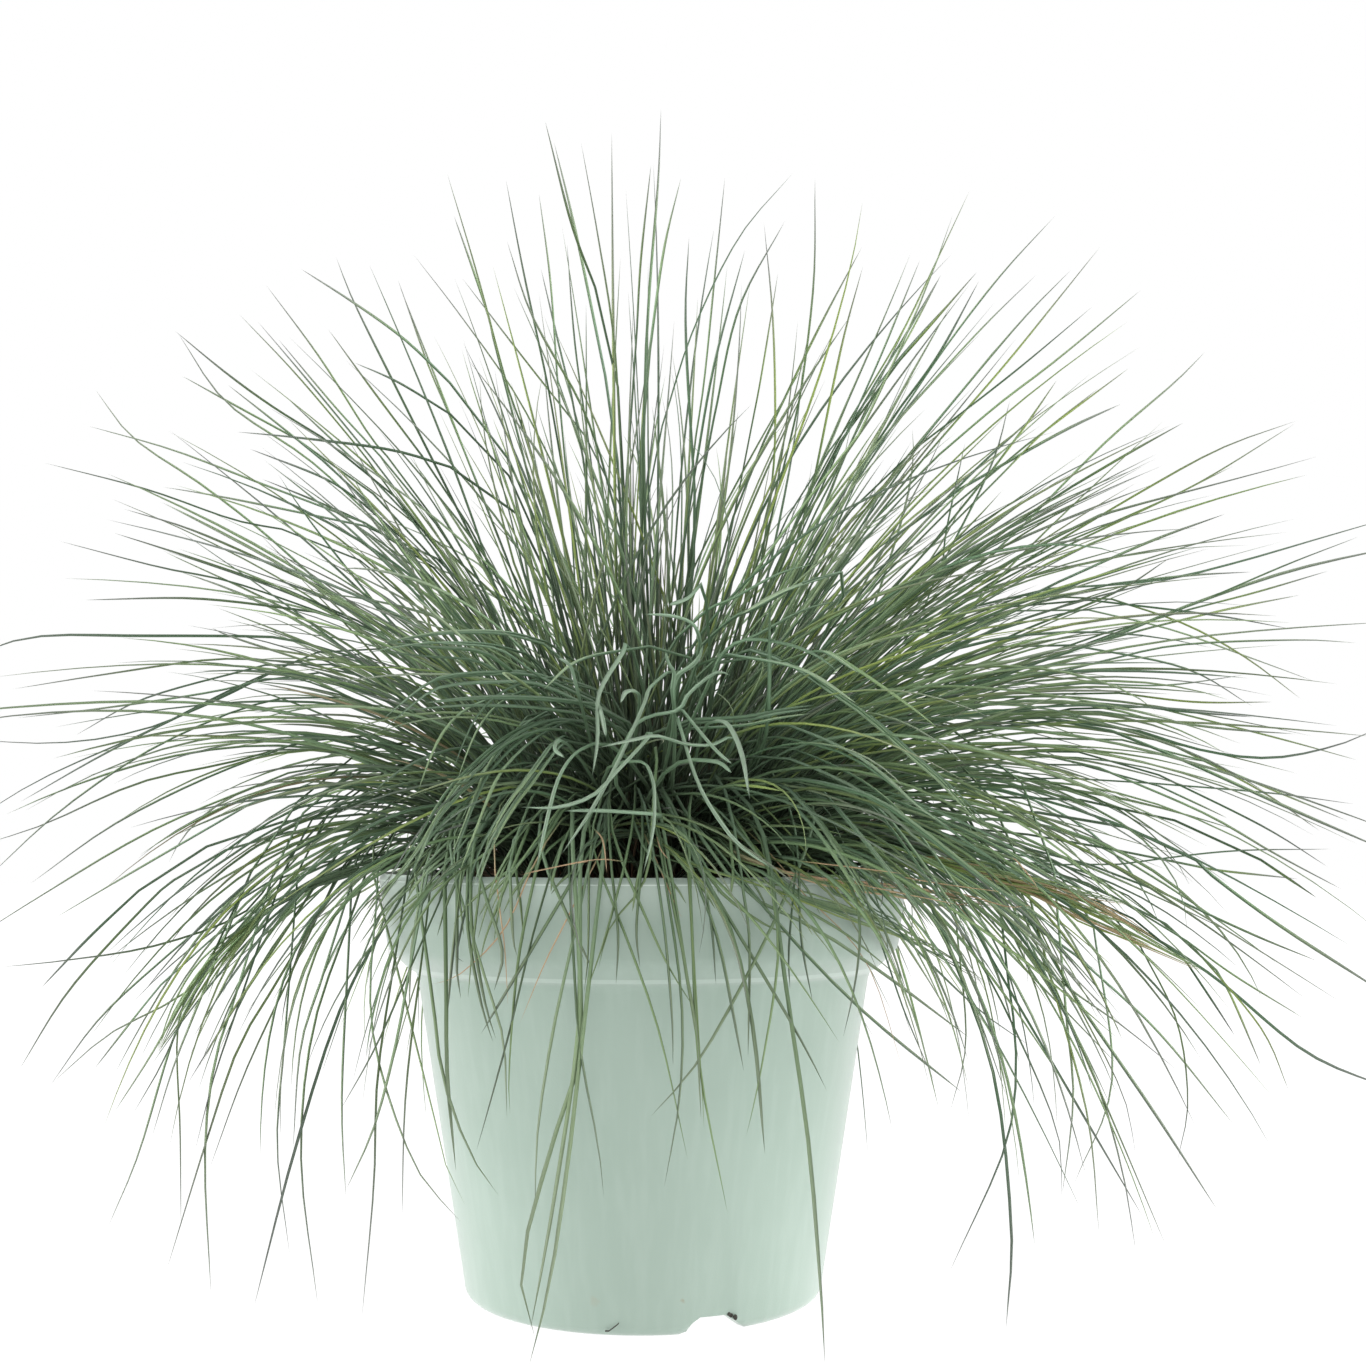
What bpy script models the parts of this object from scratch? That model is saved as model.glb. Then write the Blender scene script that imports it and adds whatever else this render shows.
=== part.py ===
"""Potted blue fescue: a plastic nursery pot, its potting soil and a clump of fine grass.

Metres, +Z up. The origin is on the ground under the middle of the pot, and -Y is the front.
"""
import math
import random
from dataclasses import dataclass

import bmesh
import bpy
from mathutils import Matrix, Vector

MM = 0.001

# Pot, outside
RIM_RADIUS = 65.0 * MM
POT_HEIGHT = 103.5 * MM
LIP_HEIGHT = 1.5 * MM
LIP_SLOPE = 0.4 * MM
BAND_BOTTOM_RADIUS = 63.0 * MM
BAND_BOTTOM_HEIGHT = 86.7 * MM
CREASE_HEIGHT = 80.8 * MM
BODY_TOP_RADIUS = 55.9 * MM
BAND_STEP_WIDTH = 4.2 * MM
BAND_STEP_RISE = 1.5 * MM
BODY_BOTTOM_RADIUS = 44.3 * MM
FOOT_ROUND = 3.6 * MM
FOOT_ROUND_ANGLES = (20, 50, 90)
FOOT_RADIUS = 41.6 * MM
FOOT_WIDTH = 2.0 * MM
FOOT_HEIGHT = 4.2 * MM
WALL = 1.2 * MM
TURN_STEPS = 36

# Notches in the foot and drain holes in the raised floor
NOTCH_COUNT = 3
FIRST_NOTCH_AZIMUTH = math.radians(-67.5)
NOTCH_WIDTH = 14.8 * MM
NOTCH_TOP_WIDTH = 7.6 * MM
HOLE_COUNT = 6
HOLE_SIDES = 8
HOLE_RADIUS = 3.5 * MM
HOLE_CIRCLE = 28.0 * MM
CUTTER_DEPTH = 12.0 * MM

# Soil
GAP = 0.3 * MM
SOIL_LEVEL = 94.0 * MM
SOIL_EDGE_DROP = 2.5 * MM
CROWN_RADIUS = 46.0 * MM

# Grass
BLADES_PER_TUFT = 6
STALK_RADIUS = 2.7 * MM
STALK_TOP_COSINE = 0.99
BEND_LENGTH = 190.0 * MM
PATH_STEP = 2.0 * MM
SPACING_POWER = 1.15
FAN_UP = math.radians(11.0)
FAN_SIDE = math.radians(10.0)
FAN_AT_STALK = 0.35
FAN_RATE = 2.0
TIP_WIDTH = 0.15
SHORTEST_BLADE = 0.80
SWAY = math.radians(3.4)
LEAN_SPREAD = 2.0
SEED = 7


@dataclass
class Ring:
    """Tufts that stand at one distance from the middle of the crown and lean alike."""

    count: int
    radius: float
    stalk: float
    base_lean: float
    end_lean: float
    bend_power: float
    length: float
    segments: int


RINGS = (
    Ring(1, 0.0 * MM, 40 * MM, 0, 0, 2.5, 168 * MM, 3),
    Ring(5, 7.0 * MM, 36 * MM, 8, 25, 2.5, 166 * MM, 3),
    Ring(8, 13.2 * MM, 30 * MM, 14, 51, 2.5, 166 * MM, 4),
    Ring(10, 19.6 * MM, 24 * MM, 19, 79, 2.5, 172 * MM, 4),
    Ring(12, 26.0 * MM, 18 * MM, 24, 107, 2.5, 178 * MM, 5),
    Ring(9, 32.2 * MM, 12 * MM, 28, 143, 3.2, 166 * MM, 5),
    Ring(6, 38.4 * MM, 8 * MM, 30, 174, 4.6, 142 * MM, 5),
)


def remove_old_objects():
    for old in list(bpy.data.objects):
        bpy.data.objects.remove(old, do_unlink=True)


def new_collection(name):
    collection = bpy.data.collections.new(name)
    bpy.context.scene.collection.children.link(collection)
    return collection


def new_material(name, colour, roughness):
    """A Principled material; colour is linear red, green and blue."""
    material = bpy.data.materials.new(name)
    material.use_nodes = True
    shader = material.node_tree.nodes["Principled BSDF"]
    shader.inputs["Base Color"].default_value = (*colour, 1.0)
    shader.inputs["Roughness"].default_value = roughness
    shader.inputs["Metallic"].default_value = 0.0
    return material


def place(mesh, name, collection, material, location=(0.0, 0.0, 0.0)):
    piece = bpy.data.objects.new(name, mesh)
    piece.location = location
    mesh.materials.append(material)
    collection.objects.link(piece)
    return piece


def turned(name, profile, collection, material):
    """A turned solid: a profile of (radius, height) points, swept round +Z by a Screw."""
    bm = bmesh.new()
    verts = [bm.verts.new((radius, 0.0, height)) for radius, height in profile]
    for upper, lower in zip(verts, verts[1:]):
        bm.edges.new((upper, lower))
    mesh = bpy.data.meshes.new(name)
    bm.to_mesh(mesh)
    bm.free()
    piece = place(mesh, name, collection, material)
    screw = piece.modifiers.new("turn", "SCREW")
    screw.axis = "Z"
    screw.steps = TURN_STEPS
    screw.render_steps = TURN_STEPS
    screw.use_merge_vertices = True
    screw.merge_threshold = 0.01 * MM
    screw.use_smooth_shade = True
    return piece


def pot_inner_radius(height):
    """Radius of the inside wall at a height, on the body and on the band above the crease."""
    if height <= CREASE_HEIGHT:
        share = (height - FOOT_ROUND) / (CREASE_HEIGHT - FOOT_ROUND)
        return BODY_BOTTOM_RADIUS + share * (BODY_TOP_RADIUS - BODY_BOTTOM_RADIUS) - WALL
    share = (height - BAND_BOTTOM_HEIGHT) / (POT_HEIGHT - BAND_BOTTOM_HEIGHT)
    return BAND_BOTTOM_RADIUS + share * (RIM_RADIUS - BAND_BOTTOM_RADIUS) - WALL


def pot_profile():
    """From the middle of the inner floor, up the inside, over the lip and down the outside."""
    floor = FOOT_HEIGHT + WALL
    foot_inside = FOOT_RADIUS - FOOT_WIDTH
    rounding = [
        (FOOT_RADIUS + (BODY_BOTTOM_RADIUS - FOOT_RADIUS) * math.cos(angle),
         FOOT_ROUND * (1.0 - math.sin(angle)))
        for angle in map(math.radians, FOOT_ROUND_ANGLES)
    ]
    inside = [
        (0.0, floor),
        (pot_inner_radius(floor), floor),
        (pot_inner_radius(CREASE_HEIGHT), CREASE_HEIGHT),
        (pot_inner_radius(BAND_BOTTOM_HEIGHT), BAND_BOTTOM_HEIGHT),
        (pot_inner_radius(POT_HEIGHT), POT_HEIGHT),
    ]
    outside = [
        (RIM_RADIUS - LIP_SLOPE, POT_HEIGHT),
        (RIM_RADIUS, POT_HEIGHT - LIP_HEIGHT),
        (BAND_BOTTOM_RADIUS, BAND_BOTTOM_HEIGHT),
        (BODY_TOP_RADIUS + BAND_STEP_WIDTH, CREASE_HEIGHT + BAND_STEP_RISE),
        (BODY_TOP_RADIUS, CREASE_HEIGHT),
        (BODY_BOTTOM_RADIUS, FOOT_ROUND),
    ]
    underneath = [
        (foot_inside, 0.0),
        (foot_inside, FOOT_HEIGHT),
        (0.0, FOOT_HEIGHT),
    ]
    return inside + outside + rounding + underneath


def notch_cutter(index, cutters, material):
    """A block, narrower at its top, across the foot at one of the evenly spaced notches."""
    azimuth = FIRST_NOTCH_AZIMUTH + index * math.tau / NOTCH_COUNT
    width_below = 2 * NOTCH_WIDTH - NOTCH_TOP_WIDTH
    bm = bmesh.new()
    bmesh.ops.create_cube(bm, size=1.0)
    for vert in bm.verts:
        above = vert.co.z > 0
        width = NOTCH_TOP_WIDTH if above else width_below
        height = FOOT_HEIGHT if above else -FOOT_HEIGHT
        vert.co = Vector((vert.co.x * CUTTER_DEPTH, vert.co.y * width, height))
    mesh = bpy.data.meshes.new(f"notch_{index}")
    bm.to_mesh(mesh)
    bm.free()
    direction = Vector((math.cos(azimuth), math.sin(azimuth), 0.0))
    cutter = place(mesh, f"notch_{index}", cutters, material, direction * FOOT_RADIUS)
    cutter.rotation_euler.z = azimuth
    return cutter


def hole_cutter(index, cutters, material):
    """A short cylinder through the raised floor."""
    azimuth = (index + 0.5) * math.tau / HOLE_COUNT
    bm = bmesh.new()
    bmesh.ops.create_cone(bm, cap_ends=True, segments=HOLE_SIDES, radius1=HOLE_RADIUS,
                          radius2=HOLE_RADIUS, depth=CUTTER_DEPTH)
    mesh = bpy.data.meshes.new(f"hole_{index}")
    bm.to_mesh(mesh)
    bm.free()
    place_xy = Vector((math.cos(azimuth), math.sin(azimuth), 0.0)) * HOLE_CIRCLE
    middle = Vector((0.0, 0.0, FOOT_HEIGHT + WALL / 2))
    return place(mesh, f"hole_{index}", cutters, material, place_xy + middle)


def make_pot(parts, cutters):
    plastic = new_material("pot_plastic", (0.47, 0.60, 0.53), 0.42)
    pot = turned("pot", pot_profile(), parts, plastic)
    tools = [notch_cutter(index, cutters, plastic) for index in range(NOTCH_COUNT)]
    tools += [hole_cutter(index, cutters, plastic) for index in range(HOLE_COUNT)]
    for tool in tools:
        tool.hide_render = True
        tool.display_type = "WIRE"
        cut = pot.modifiers.new(tool.name, "BOOLEAN")
        cut.operation = "DIFFERENCE"
        cut.object = tool
    return pot


def make_soil(parts):
    """The root ball: it fills the pot, flat under the crown and sunk a little at the wall."""
    earth = new_material("soil", (0.035, 0.022, 0.013), 0.95)
    edge_height = SOIL_LEVEL - SOIL_EDGE_DROP
    floor = FOOT_HEIGHT + WALL + GAP
    profile = [
        (0.0, SOIL_LEVEL),
        (CROWN_RADIUS, SOIL_LEVEL),
        (pot_inner_radius(edge_height) - GAP, edge_height),
        (pot_inner_radius(BAND_BOTTOM_HEIGHT) - 2 * GAP, BAND_BOTTOM_HEIGHT + GAP),
        (pot_inner_radius(CREASE_HEIGHT) - 2 * GAP, CREASE_HEIGHT + GAP),
        (pot_inner_radius(floor) - GAP, floor),
        (0.0, floor),
    ]
    return turned("soil", profile, parts, earth)


def lean_after(travelled, ring, extra_lean):
    """Lean from the vertical, in radians, after some length of blade: most of it comes early."""
    share = min(travelled / BEND_LENGTH, 1.0)
    bent = 1.0 - (1.0 - share) ** ring.bend_power
    end_lean = ring.end_lean + extra_lean
    return math.radians(ring.base_lean + (end_lean - ring.base_lean) * bent)


def heading(azimuth, lean):
    """Unit vector that leans from the vertical towards an azimuth."""
    outwards = Vector((math.cos(azimuth), math.sin(azimuth), 0.0))
    return outwards * math.sin(lean) + Vector((0.0, 0.0, math.cos(lean)))


def blade_points(start, azimuth, ring, extra_lean, turn, length):
    """Points along one blade, which fans out from its tuft's bend by its place in the tuft."""
    marks = [ring.length * (step / ring.segments) ** SPACING_POWER
             for step in range(1, ring.segments)]
    marks.append(length)
    sideways = Vector((-math.sin(azimuth), math.cos(azimuth), 0.0))
    position = start.copy()
    travelled = 0.0
    points = []
    while len(points) < ring.segments:
        opened = min(1.0, FAN_RATE * travelled / ring.length)
        spread = FAN_AT_STALK + (1.0 - FAN_AT_STALK) * opened
        lean = lean_after(travelled, ring, extra_lean) + FAN_UP * math.cos(turn) * spread
        direction = heading(azimuth, lean) + sideways * math.tan(FAN_SIDE * spread) * math.sin(turn)
        position = position + direction.normalized() * PATH_STEP
        travelled += PATH_STEP
        if travelled >= marks[len(points)] - PATH_STEP / 2:
            points.append(position.copy())
    return points


def grow_blade(bm, face, points):
    """Extrude one face of the stalk's top along the points, ever thinner, to a point."""
    centre = face.calc_center_median()
    direction = face.normal.copy()
    size = 1.0
    for index, point in enumerate(points[:-1]):
        new_direction = (points[index + 1] - centre).normalized()
        turn = direction.rotation_difference(new_direction).to_matrix()
        new_size = 1.0 - (1.0 - TIP_WIDTH) * (index + 1) / len(points)
        face = bmesh.ops.extrude_discrete_faces(bm, faces=[face])["faces"][0]
        for vert in face.verts:
            vert.co = point + turn @ (vert.co - centre) * (new_size / size)
        centre = point
        direction = new_direction
        size = new_size
    tip = bmesh.ops.poke(bm, faces=[face])["verts"][0]
    tip.co = points[-1]


def tuft_mesh(name, azimuth, ring, extra_lean, lengths):
    """A short six-sided stalk, standing on the soil, whose top divides into six blades."""
    lean = math.radians(ring.base_lean)
    axis = heading(azimuth, lean)
    across = Vector((-math.sin(azimuth), math.cos(azimuth), 0.0))
    tilt = Matrix((across.cross(axis), across, axis)).transposed()
    bm = bmesh.new()
    bmesh.ops.create_cone(bm, cap_ends=True, cap_tris=True, segments=BLADES_PER_TUFT,
                          radius1=STALK_RADIUS, radius2=STALK_RADIUS, depth=1.0)
    for vert in bm.verts:
        spoke = Vector((vert.co.x, vert.co.y, 0.0))
        if vert.co.z > 0:
            vert.co = axis * ring.stalk + tilt @ spoke
        else:
            vert.co = Matrix.Rotation(azimuth, 3, "Z") @ spoke
    bm.normal_update()
    centre = axis * ring.stalk
    tops = [face for face in bm.faces if face.normal.dot(axis) > STALK_TOP_COSINE]
    for face, length in zip(tops, lengths):
        start = face.calc_center_median()
        spoke = tilt.transposed() @ (start - centre)
        turn = math.atan2(spoke.y, spoke.x)
        grow_blade(bm, face, blade_points(start, azimuth, ring, extra_lean, turn, length))
    bmesh.ops.recalc_face_normals(bm, faces=bm.faces)
    mesh = bpy.data.meshes.new(name)
    bm.to_mesh(mesh)
    bm.free()
    return mesh


def make_tufts(parts):
    grass = new_material("blade_green", (0.115, 0.190, 0.140), 0.55)
    chance = random.Random(SEED)
    index = 0
    for ring in RINGS:
        for place_in_ring in range(ring.count):
            azimuth = place_in_ring * math.tau / ring.count
            on_an_axis = ring.count % 4 == 0 and place_in_ring % (ring.count // 4) == 0
            sway = 0.0 if on_an_axis else chance.uniform(-SWAY, SWAY)
            extra_lean = 0.0 if on_an_axis else chance.uniform(-LEAN_SPREAD, LEAN_SPREAD)
            shortest = 1.0 if on_an_axis else SHORTEST_BLADE
            lengths = [ring.length * chance.uniform(shortest, 1.0) for _ in range(BLADES_PER_TUFT)]
            azimuth += sway
            name = f"tuft_{index:02d}"
            mesh = tuft_mesh(name, azimuth, ring, extra_lean, lengths)
            foot = Vector((math.cos(azimuth), math.sin(azimuth), 0.0)) * ring.radius
            foot.z = SOIL_LEVEL + GAP
            place(mesh, name, parts, grass, foot)
            index += 1
    return index


def main():
    remove_old_objects()
    parts = new_collection("potted_blue_fescue")
    cutters = new_collection("cutters")
    make_pot(parts, cutters)
    make_soil(parts)
    count = make_tufts(parts)
    print(f"made the pot, the soil and {count} tufts")


main()
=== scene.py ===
# %% [markdown]
# # A potted blue fescue
#
# Blue fescue is a small ornamental grass. It grows as one dense clump of hair-fine, rolled
# blades that stand up in the middle, arch out on all sides and hang over the rim of the pot.
# This lesson dresses a ready frame of simple solids: a nursery pot, its soil and 51 tufts of
# grass. Each tuft gives way to about thirty-five single blades that grow from the same spot.
#
# The frame comes first, because every piece has to sit where its solid is.

import math

import bpy
import numpy as np
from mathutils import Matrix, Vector


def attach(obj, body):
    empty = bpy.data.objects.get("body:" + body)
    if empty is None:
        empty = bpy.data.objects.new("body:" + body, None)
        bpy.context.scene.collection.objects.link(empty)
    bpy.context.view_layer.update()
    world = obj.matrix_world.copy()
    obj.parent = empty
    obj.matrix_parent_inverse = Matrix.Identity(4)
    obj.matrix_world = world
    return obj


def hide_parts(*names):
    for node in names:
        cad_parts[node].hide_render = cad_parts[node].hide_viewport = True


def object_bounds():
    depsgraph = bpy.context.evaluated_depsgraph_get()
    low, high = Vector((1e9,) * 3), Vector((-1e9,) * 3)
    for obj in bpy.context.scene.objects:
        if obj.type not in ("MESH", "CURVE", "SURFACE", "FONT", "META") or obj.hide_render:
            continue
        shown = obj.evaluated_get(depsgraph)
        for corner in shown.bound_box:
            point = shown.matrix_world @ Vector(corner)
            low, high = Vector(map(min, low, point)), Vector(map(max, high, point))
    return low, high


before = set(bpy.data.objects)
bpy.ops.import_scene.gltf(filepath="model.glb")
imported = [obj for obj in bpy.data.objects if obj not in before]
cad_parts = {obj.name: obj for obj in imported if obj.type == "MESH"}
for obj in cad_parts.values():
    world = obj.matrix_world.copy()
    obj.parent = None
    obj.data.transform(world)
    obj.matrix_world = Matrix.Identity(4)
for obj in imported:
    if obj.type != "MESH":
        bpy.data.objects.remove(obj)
solid_box = [list(corner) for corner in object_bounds()]

MM = 0.001
SOIL_LEVEL = 94.0 * MM
tuft_names = sorted(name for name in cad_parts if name.startswith("tuft_"))
print(f"frame: {len(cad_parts)} nodes, {len(tuft_names)} of them tufts")

# %% [markdown]
# ## The camera
#
# The photograph looks level at the pot from 45 cm away, a hand above the floor. A level camera
# keeps upright lines upright, so the plant is brought into the middle of the picture by the
# lens shift, as on an architect's camera, and not by tilting. The same numbers let us walk from
# a pixel of the picture back to a place in space, which is how the blades that are seen one by
# one are drawn later on.

# %% The camera
IMAGE_SIZE = 1366
FOCAL_PX = 1802
HORIZON_PX = 836.3
SENSOR = 36.0
CAMERA_X = 9.8 * MM
CAMERA_DISTANCE = 449.0 * MM
CAMERA_HEIGHT = 112.85 * MM

lens = bpy.data.cameras.new("camera")
lens.sensor_width = SENSOR
lens.lens = SENSOR * FOCAL_PX / IMAGE_SIZE
lens.shift_y = (HORIZON_PX - IMAGE_SIZE / 2) / IMAGE_SIZE
lens.clip_start = 0.01
camera = bpy.data.objects.new("camera", lens)
camera.location = (CAMERA_X, -CAMERA_DISTANCE, CAMERA_HEIGHT)
camera.rotation_euler = (math.radians(90), 0, 0)
bpy.context.scene.collection.objects.link(camera)
bpy.context.scene.camera = camera


def seen_at(pixel, depth):
    """Place that the camera sees at a pixel, at a distance in front of it along +Y."""
    across = (pixel[0] - IMAGE_SIZE / 2) / FOCAL_PX
    down = (pixel[1] - HORIZON_PX) / FOCAL_PX
    return np.array([CAMERA_X + across * depth, depth - CAMERA_DISTANCE, CAMERA_HEIGHT - down * depth])


def seen_round_pot(pixel, radius):
    """Place that the camera sees at a pixel, on the near side of an upright cylinder."""
    across = (pixel[0] - IMAGE_SIZE / 2) / FOCAL_PX
    middle = CAMERA_DISTANCE - CAMERA_X * across
    spare = middle ** 2 - (1 + across ** 2) * (CAMERA_X ** 2 + CAMERA_DISTANCE ** 2 - radius ** 2)
    return seen_at(pixel, (middle - math.sqrt(max(spare, 0.0))) / (1 + across ** 2))


pot_axis = seen_at((644, 1290), CAMERA_DISTANCE)
print(f"lens {lens.lens:.1f} mm, shift {lens.shift_y:.3f}, pot axis at", pot_axis)

# %% [markdown]
# ## Shader maths
#
# A procedural material is a sum of small patterns. Written node by node it is hard to read, so
# two small classes turn sockets into values for ordinary Python expressions: a Signal is an
# output socket with the arithmetic operators, and a Recipe adds nodes to one material.

# %% Shader maths


class Signal:
    """An output socket that takes part in sums. Each operator adds one Math node."""

    def __init__(self, recipe, socket):
        self.recipe = recipe
        self.socket = socket

    def math(self, operation, *values):
        return self.recipe.node("ShaderNodeMath", {"operation": operation}, dict(enumerate(values)))

    def __add__(self, other):
        return self.math("ADD", self, other)

    def __radd__(self, other):
        return self.math("ADD", other, self)

    def __sub__(self, other):
        return self.math("SUBTRACT", self, other)

    def __rsub__(self, other):
        return self.math("SUBTRACT", other, self)

    def __mul__(self, other):
        return self.math("MULTIPLY", self, other)

    def __rmul__(self, other):
        return self.math("MULTIPLY", other, self)

    def __truediv__(self, other):
        return self.math("DIVIDE", self, other)

    def __pow__(self, other):
        return self.math("POWER", self, other)

    def step(self, low, high):
        """0 below low, 1 above high, and a smooth rise between them."""
        settings = {"interpolation_type": "SMOOTHSTEP", "clamp": True}
        return self.recipe.node("ShaderNodeMapRange", settings, {0: self, 1: low, 2: high})


class Recipe:
    """The nodes that are added to one material, or to the world."""

    def __init__(self, owner, shader):
        owner.use_nodes = True
        self.owner = owner
        self.tree = owner.node_tree
        self.shader = self.tree.nodes[shader]

    def node(self, kind, settings=None, inputs=None, output=0):
        """Adds a node: first its settings, then the values or links of its sockets."""
        node = self.tree.nodes.new(kind)
        for key, value in (settings or {}).items():
            setattr(node, key, value)
        for key, value in (inputs or {}).items():
            self.feed(node, key, value)
        return Signal(self, node.outputs[output])

    def feed(self, node, key, value):
        if isinstance(value, Signal):
            self.tree.links.new(value.socket, node.inputs[key])
        else:
            node.inputs[key].default_value = value

    def blend(self, factor, first, second):
        """First colour where factor is 0, second colour where it is 1."""
        settings = {"data_type": "RGBA", "clamp_factor": True}
        return self.node("ShaderNodeMix", settings, {0: factor, 6: rgba(first), 7: rgba(second)}, 2)

    def noise(self, place, scale, detail=2.0, roughness=0.5):
        inputs = {"Vector": place, "Scale": scale, "Detail": detail, "Roughness": roughness}
        return self.node("ShaderNodeTexNoise", {}, inputs)

    def attribute(self, name):
        return self.node("ShaderNodeAttribute", {"attribute_name": name}, {}, "Fac")

    def place(self, scale=(1, 1, 1), shift=(0, 0, 0)):
        """Place on the object in metres, stretched and shifted."""
        local = self.node("ShaderNodeTexCoord", output="Object")
        return self.node("ShaderNodeMapping", {}, {"Vector": local, "Scale": scale, "Location": shift})

    def finish(self, **sockets):
        """Sets or links the shader's own sockets, named with _ for a space."""
        for key, value in sockets.items():
            self.feed(self.shader, key.replace("_", " "), value)
        return self.owner


def new_finish(name):
    return Recipe(bpy.data.materials.new(name), "Principled BSDF")


def rgba(colour):
    return colour if isinstance(colour, Signal) else (*colour[:3], 1.0)


def deselect():
    if bpy.context.object and bpy.context.object.mode != "OBJECT":
        bpy.ops.object.mode_set(mode="OBJECT")
    bpy.ops.object.select_all(action="DESELECT")


print("shader maths ready")

# %% [markdown]
# ## The pot
#
# The real pot is one thin shell of injection-moulded plastic, with a wide band below the lip
# that steps in to a tapered body, and a ring foot with three notches that let water out.
# It could be a turned profile, but here it is drawn out of one disc, as a potter pulls up clay:
# the disc of the underside is extruded ring by ring, down to the foot, up the outside, over the
# lip and down the inside, where the same disc ends as the floor. This keeps clean bands of
# four-sided faces. First come the rings, each a radius and a height.

# %% The pot's profile
POT_SIDES = 180
RIM_RADIUS = 65.0 * MM
POT_HEIGHT = 103.5 * MM
BODY_TOP = (55.9 * MM, 80.0 * MM)
BODY_BOTTOM = (44.3 * MM, 3.6 * MM)
FOOT_RADIUS = 41.6 * MM
FOOT_INSIDE = 39.6 * MM
FOOT_HEIGHT = 4.2 * MM
WALL = 1.2 * MM
NOTCHES = 3
FIRST_NOTCH = math.radians(-66.2)
NOTCH_WIDTH = 15.4 * MM
STEEP_SLOPE = 2.7 * MM
GENTLE_SLOPE = 6.0 * MM
FOOT_ROUND_STEPS = 6
FOOT_START = (FOOT_INSIDE, FOOT_HEIGHT)


def foot_rounding():
    """The quarter ellipse between the foot and the body."""
    wide = BODY_BOTTOM[0] - FOOT_RADIUS
    for step in range(1, FOOT_ROUND_STEPS + 1):
        angle = math.radians(90 * step / FOOT_ROUND_STEPS)
        yield FOOT_RADIUS + wide * math.sin(angle), BODY_BOTTOM[1] * (1 - math.cos(angle))


def in_mm(*pairs):
    return [(radius * MM, height * MM) for radius, height in pairs]


pot_rings = (
    in_mm((39.6, 0.4), (39.9, 0.0), (41.2, 0.0))
    + list(foot_rounding())
    + in_mm((50.0, 41.2), (55.6, 78.2))
    + in_mm((56.1, 79.7), (56.7, 80.2), (57.3, 80.5), (58.0, 80.9), (61.9, 84.7), (62.7, 85.7))
    + in_mm((63.05, 86.7), (63.25, 88.2), (64.95, 101.9), (65.0, 102.3), (64.85, 102.9))
    + in_mm((64.5, 103.65), (64.2, 103.95), (63.9, 103.95), (63.7, 103.7))
    + in_mm((62.0, 87.5), (61.6, 86.5), (57.0, 81.8), (55.0, 80.8), (54.3, 79.0), (43.3, 6.4), (42.3, 5.4))
)
print(f"{len(pot_rings)} rings from the foot to the floor")

# %% [markdown]
# Drawing a shell out of a disc takes the same few moves whatever its rings are: extrude the disc
# by the step in height, then widen or narrow it. The soil is drawn in this way too, so the moves
# are a function.

# %% Drawing a shell out of a disc


def draw_out(name, sides, start, rings):
    """A closed shell, pulled out of a disc ring by ring. Start and rings are (radius, height)."""
    deselect()
    bpy.ops.mesh.primitive_circle_add(vertices=sides, radius=start[0], fill_type="NGON",
                                      location=(0, 0, start[1]))
    piece = bpy.context.object
    piece.name = name
    bpy.ops.object.transform_apply(location=True)
    bpy.ops.object.mode_set(mode="EDIT")
    bpy.ops.mesh.select_mode(type="FACE")
    bpy.ops.mesh.select_all(action="SELECT")
    here = start
    for ring in rings:
        growth = ring[0] / here[0]
        bpy.ops.mesh.extrude_region_move(TRANSFORM_OT_translate={"value": (0, 0, ring[1] - here[1])})
        bpy.ops.transform.resize(value=(growth, growth, 1), center_override=(0, 0, 0))
        here = ring
    bpy.ops.mesh.select_all(action="SELECT")
    bpy.ops.mesh.normals_make_consistent(inside=False)
    bpy.ops.object.mode_set(mode="OBJECT")
    return piece


pot = draw_out("mint_pot", POT_SIDES, FOOT_START, pot_rings)
print(f"pot: {len(pot.data.polygons)} faces, {pot.dimensions.x / MM:.1f} mm wide")

# %% [markdown]
# The foot's notches: each point of the foot that lies below a notch's outline is lifted to it.
# The drain holes are drilled with a Boolean, which is applied at once.

# %% Notches and drain holes
HOLE_COUNT = 6
HOLE_RADIUS = 3.5 * MM
HOLE_CIRCLE = 28.0 * MM
HOLE_SIDES = 24
DRILL_LENGTH = 12 * MM
SMOOTH_BELOW = math.radians(32)


def notch_rise(azimuth):
    """How high the foot is cut away at an azimuth: full height, one of two slopes, or nothing."""
    turn = math.tau / NOTCHES
    along_foot = ((azimuth - FIRST_NOTCH + turn / 2) % turn - turn / 2) * FOOT_RADIUS
    steep = (NOTCH_WIDTH / 2 + along_foot) / STEEP_SLOPE
    gentle = (NOTCH_WIDTH / 2 - along_foot) / GENTLE_SLOPE
    return FOOT_HEIGHT * min(max(min(steep, gentle), 0.0), 1.0)


for vert in pot.data.vertices:
    if vert.co.z < FOOT_HEIGHT and vert.co.to_2d().length > FOOT_INSIDE - WALL:
        vert.co.z = max(vert.co.z, notch_rise(math.atan2(vert.co.y, vert.co.x)))

for index in range(HOLE_COUNT):
    azimuth = (index + 0.5) * math.tau / HOLE_COUNT
    middle = (HOLE_CIRCLE * math.cos(azimuth), HOLE_CIRCLE * math.sin(azimuth), FOOT_HEIGHT)
    deselect()
    bpy.ops.mesh.primitive_cylinder_add(vertices=HOLE_SIDES, radius=HOLE_RADIUS, depth=DRILL_LENGTH,
                                        location=middle)
    drill = bpy.context.object
    cut = pot.modifiers.new("drain_hole", "BOOLEAN")
    cut.operation = "DIFFERENCE"
    cut.object = drill
    bpy.context.view_layer.objects.active = pot
    bpy.ops.object.modifier_apply(modifier=cut.name)
    bpy.data.objects.remove(drill)

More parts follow.
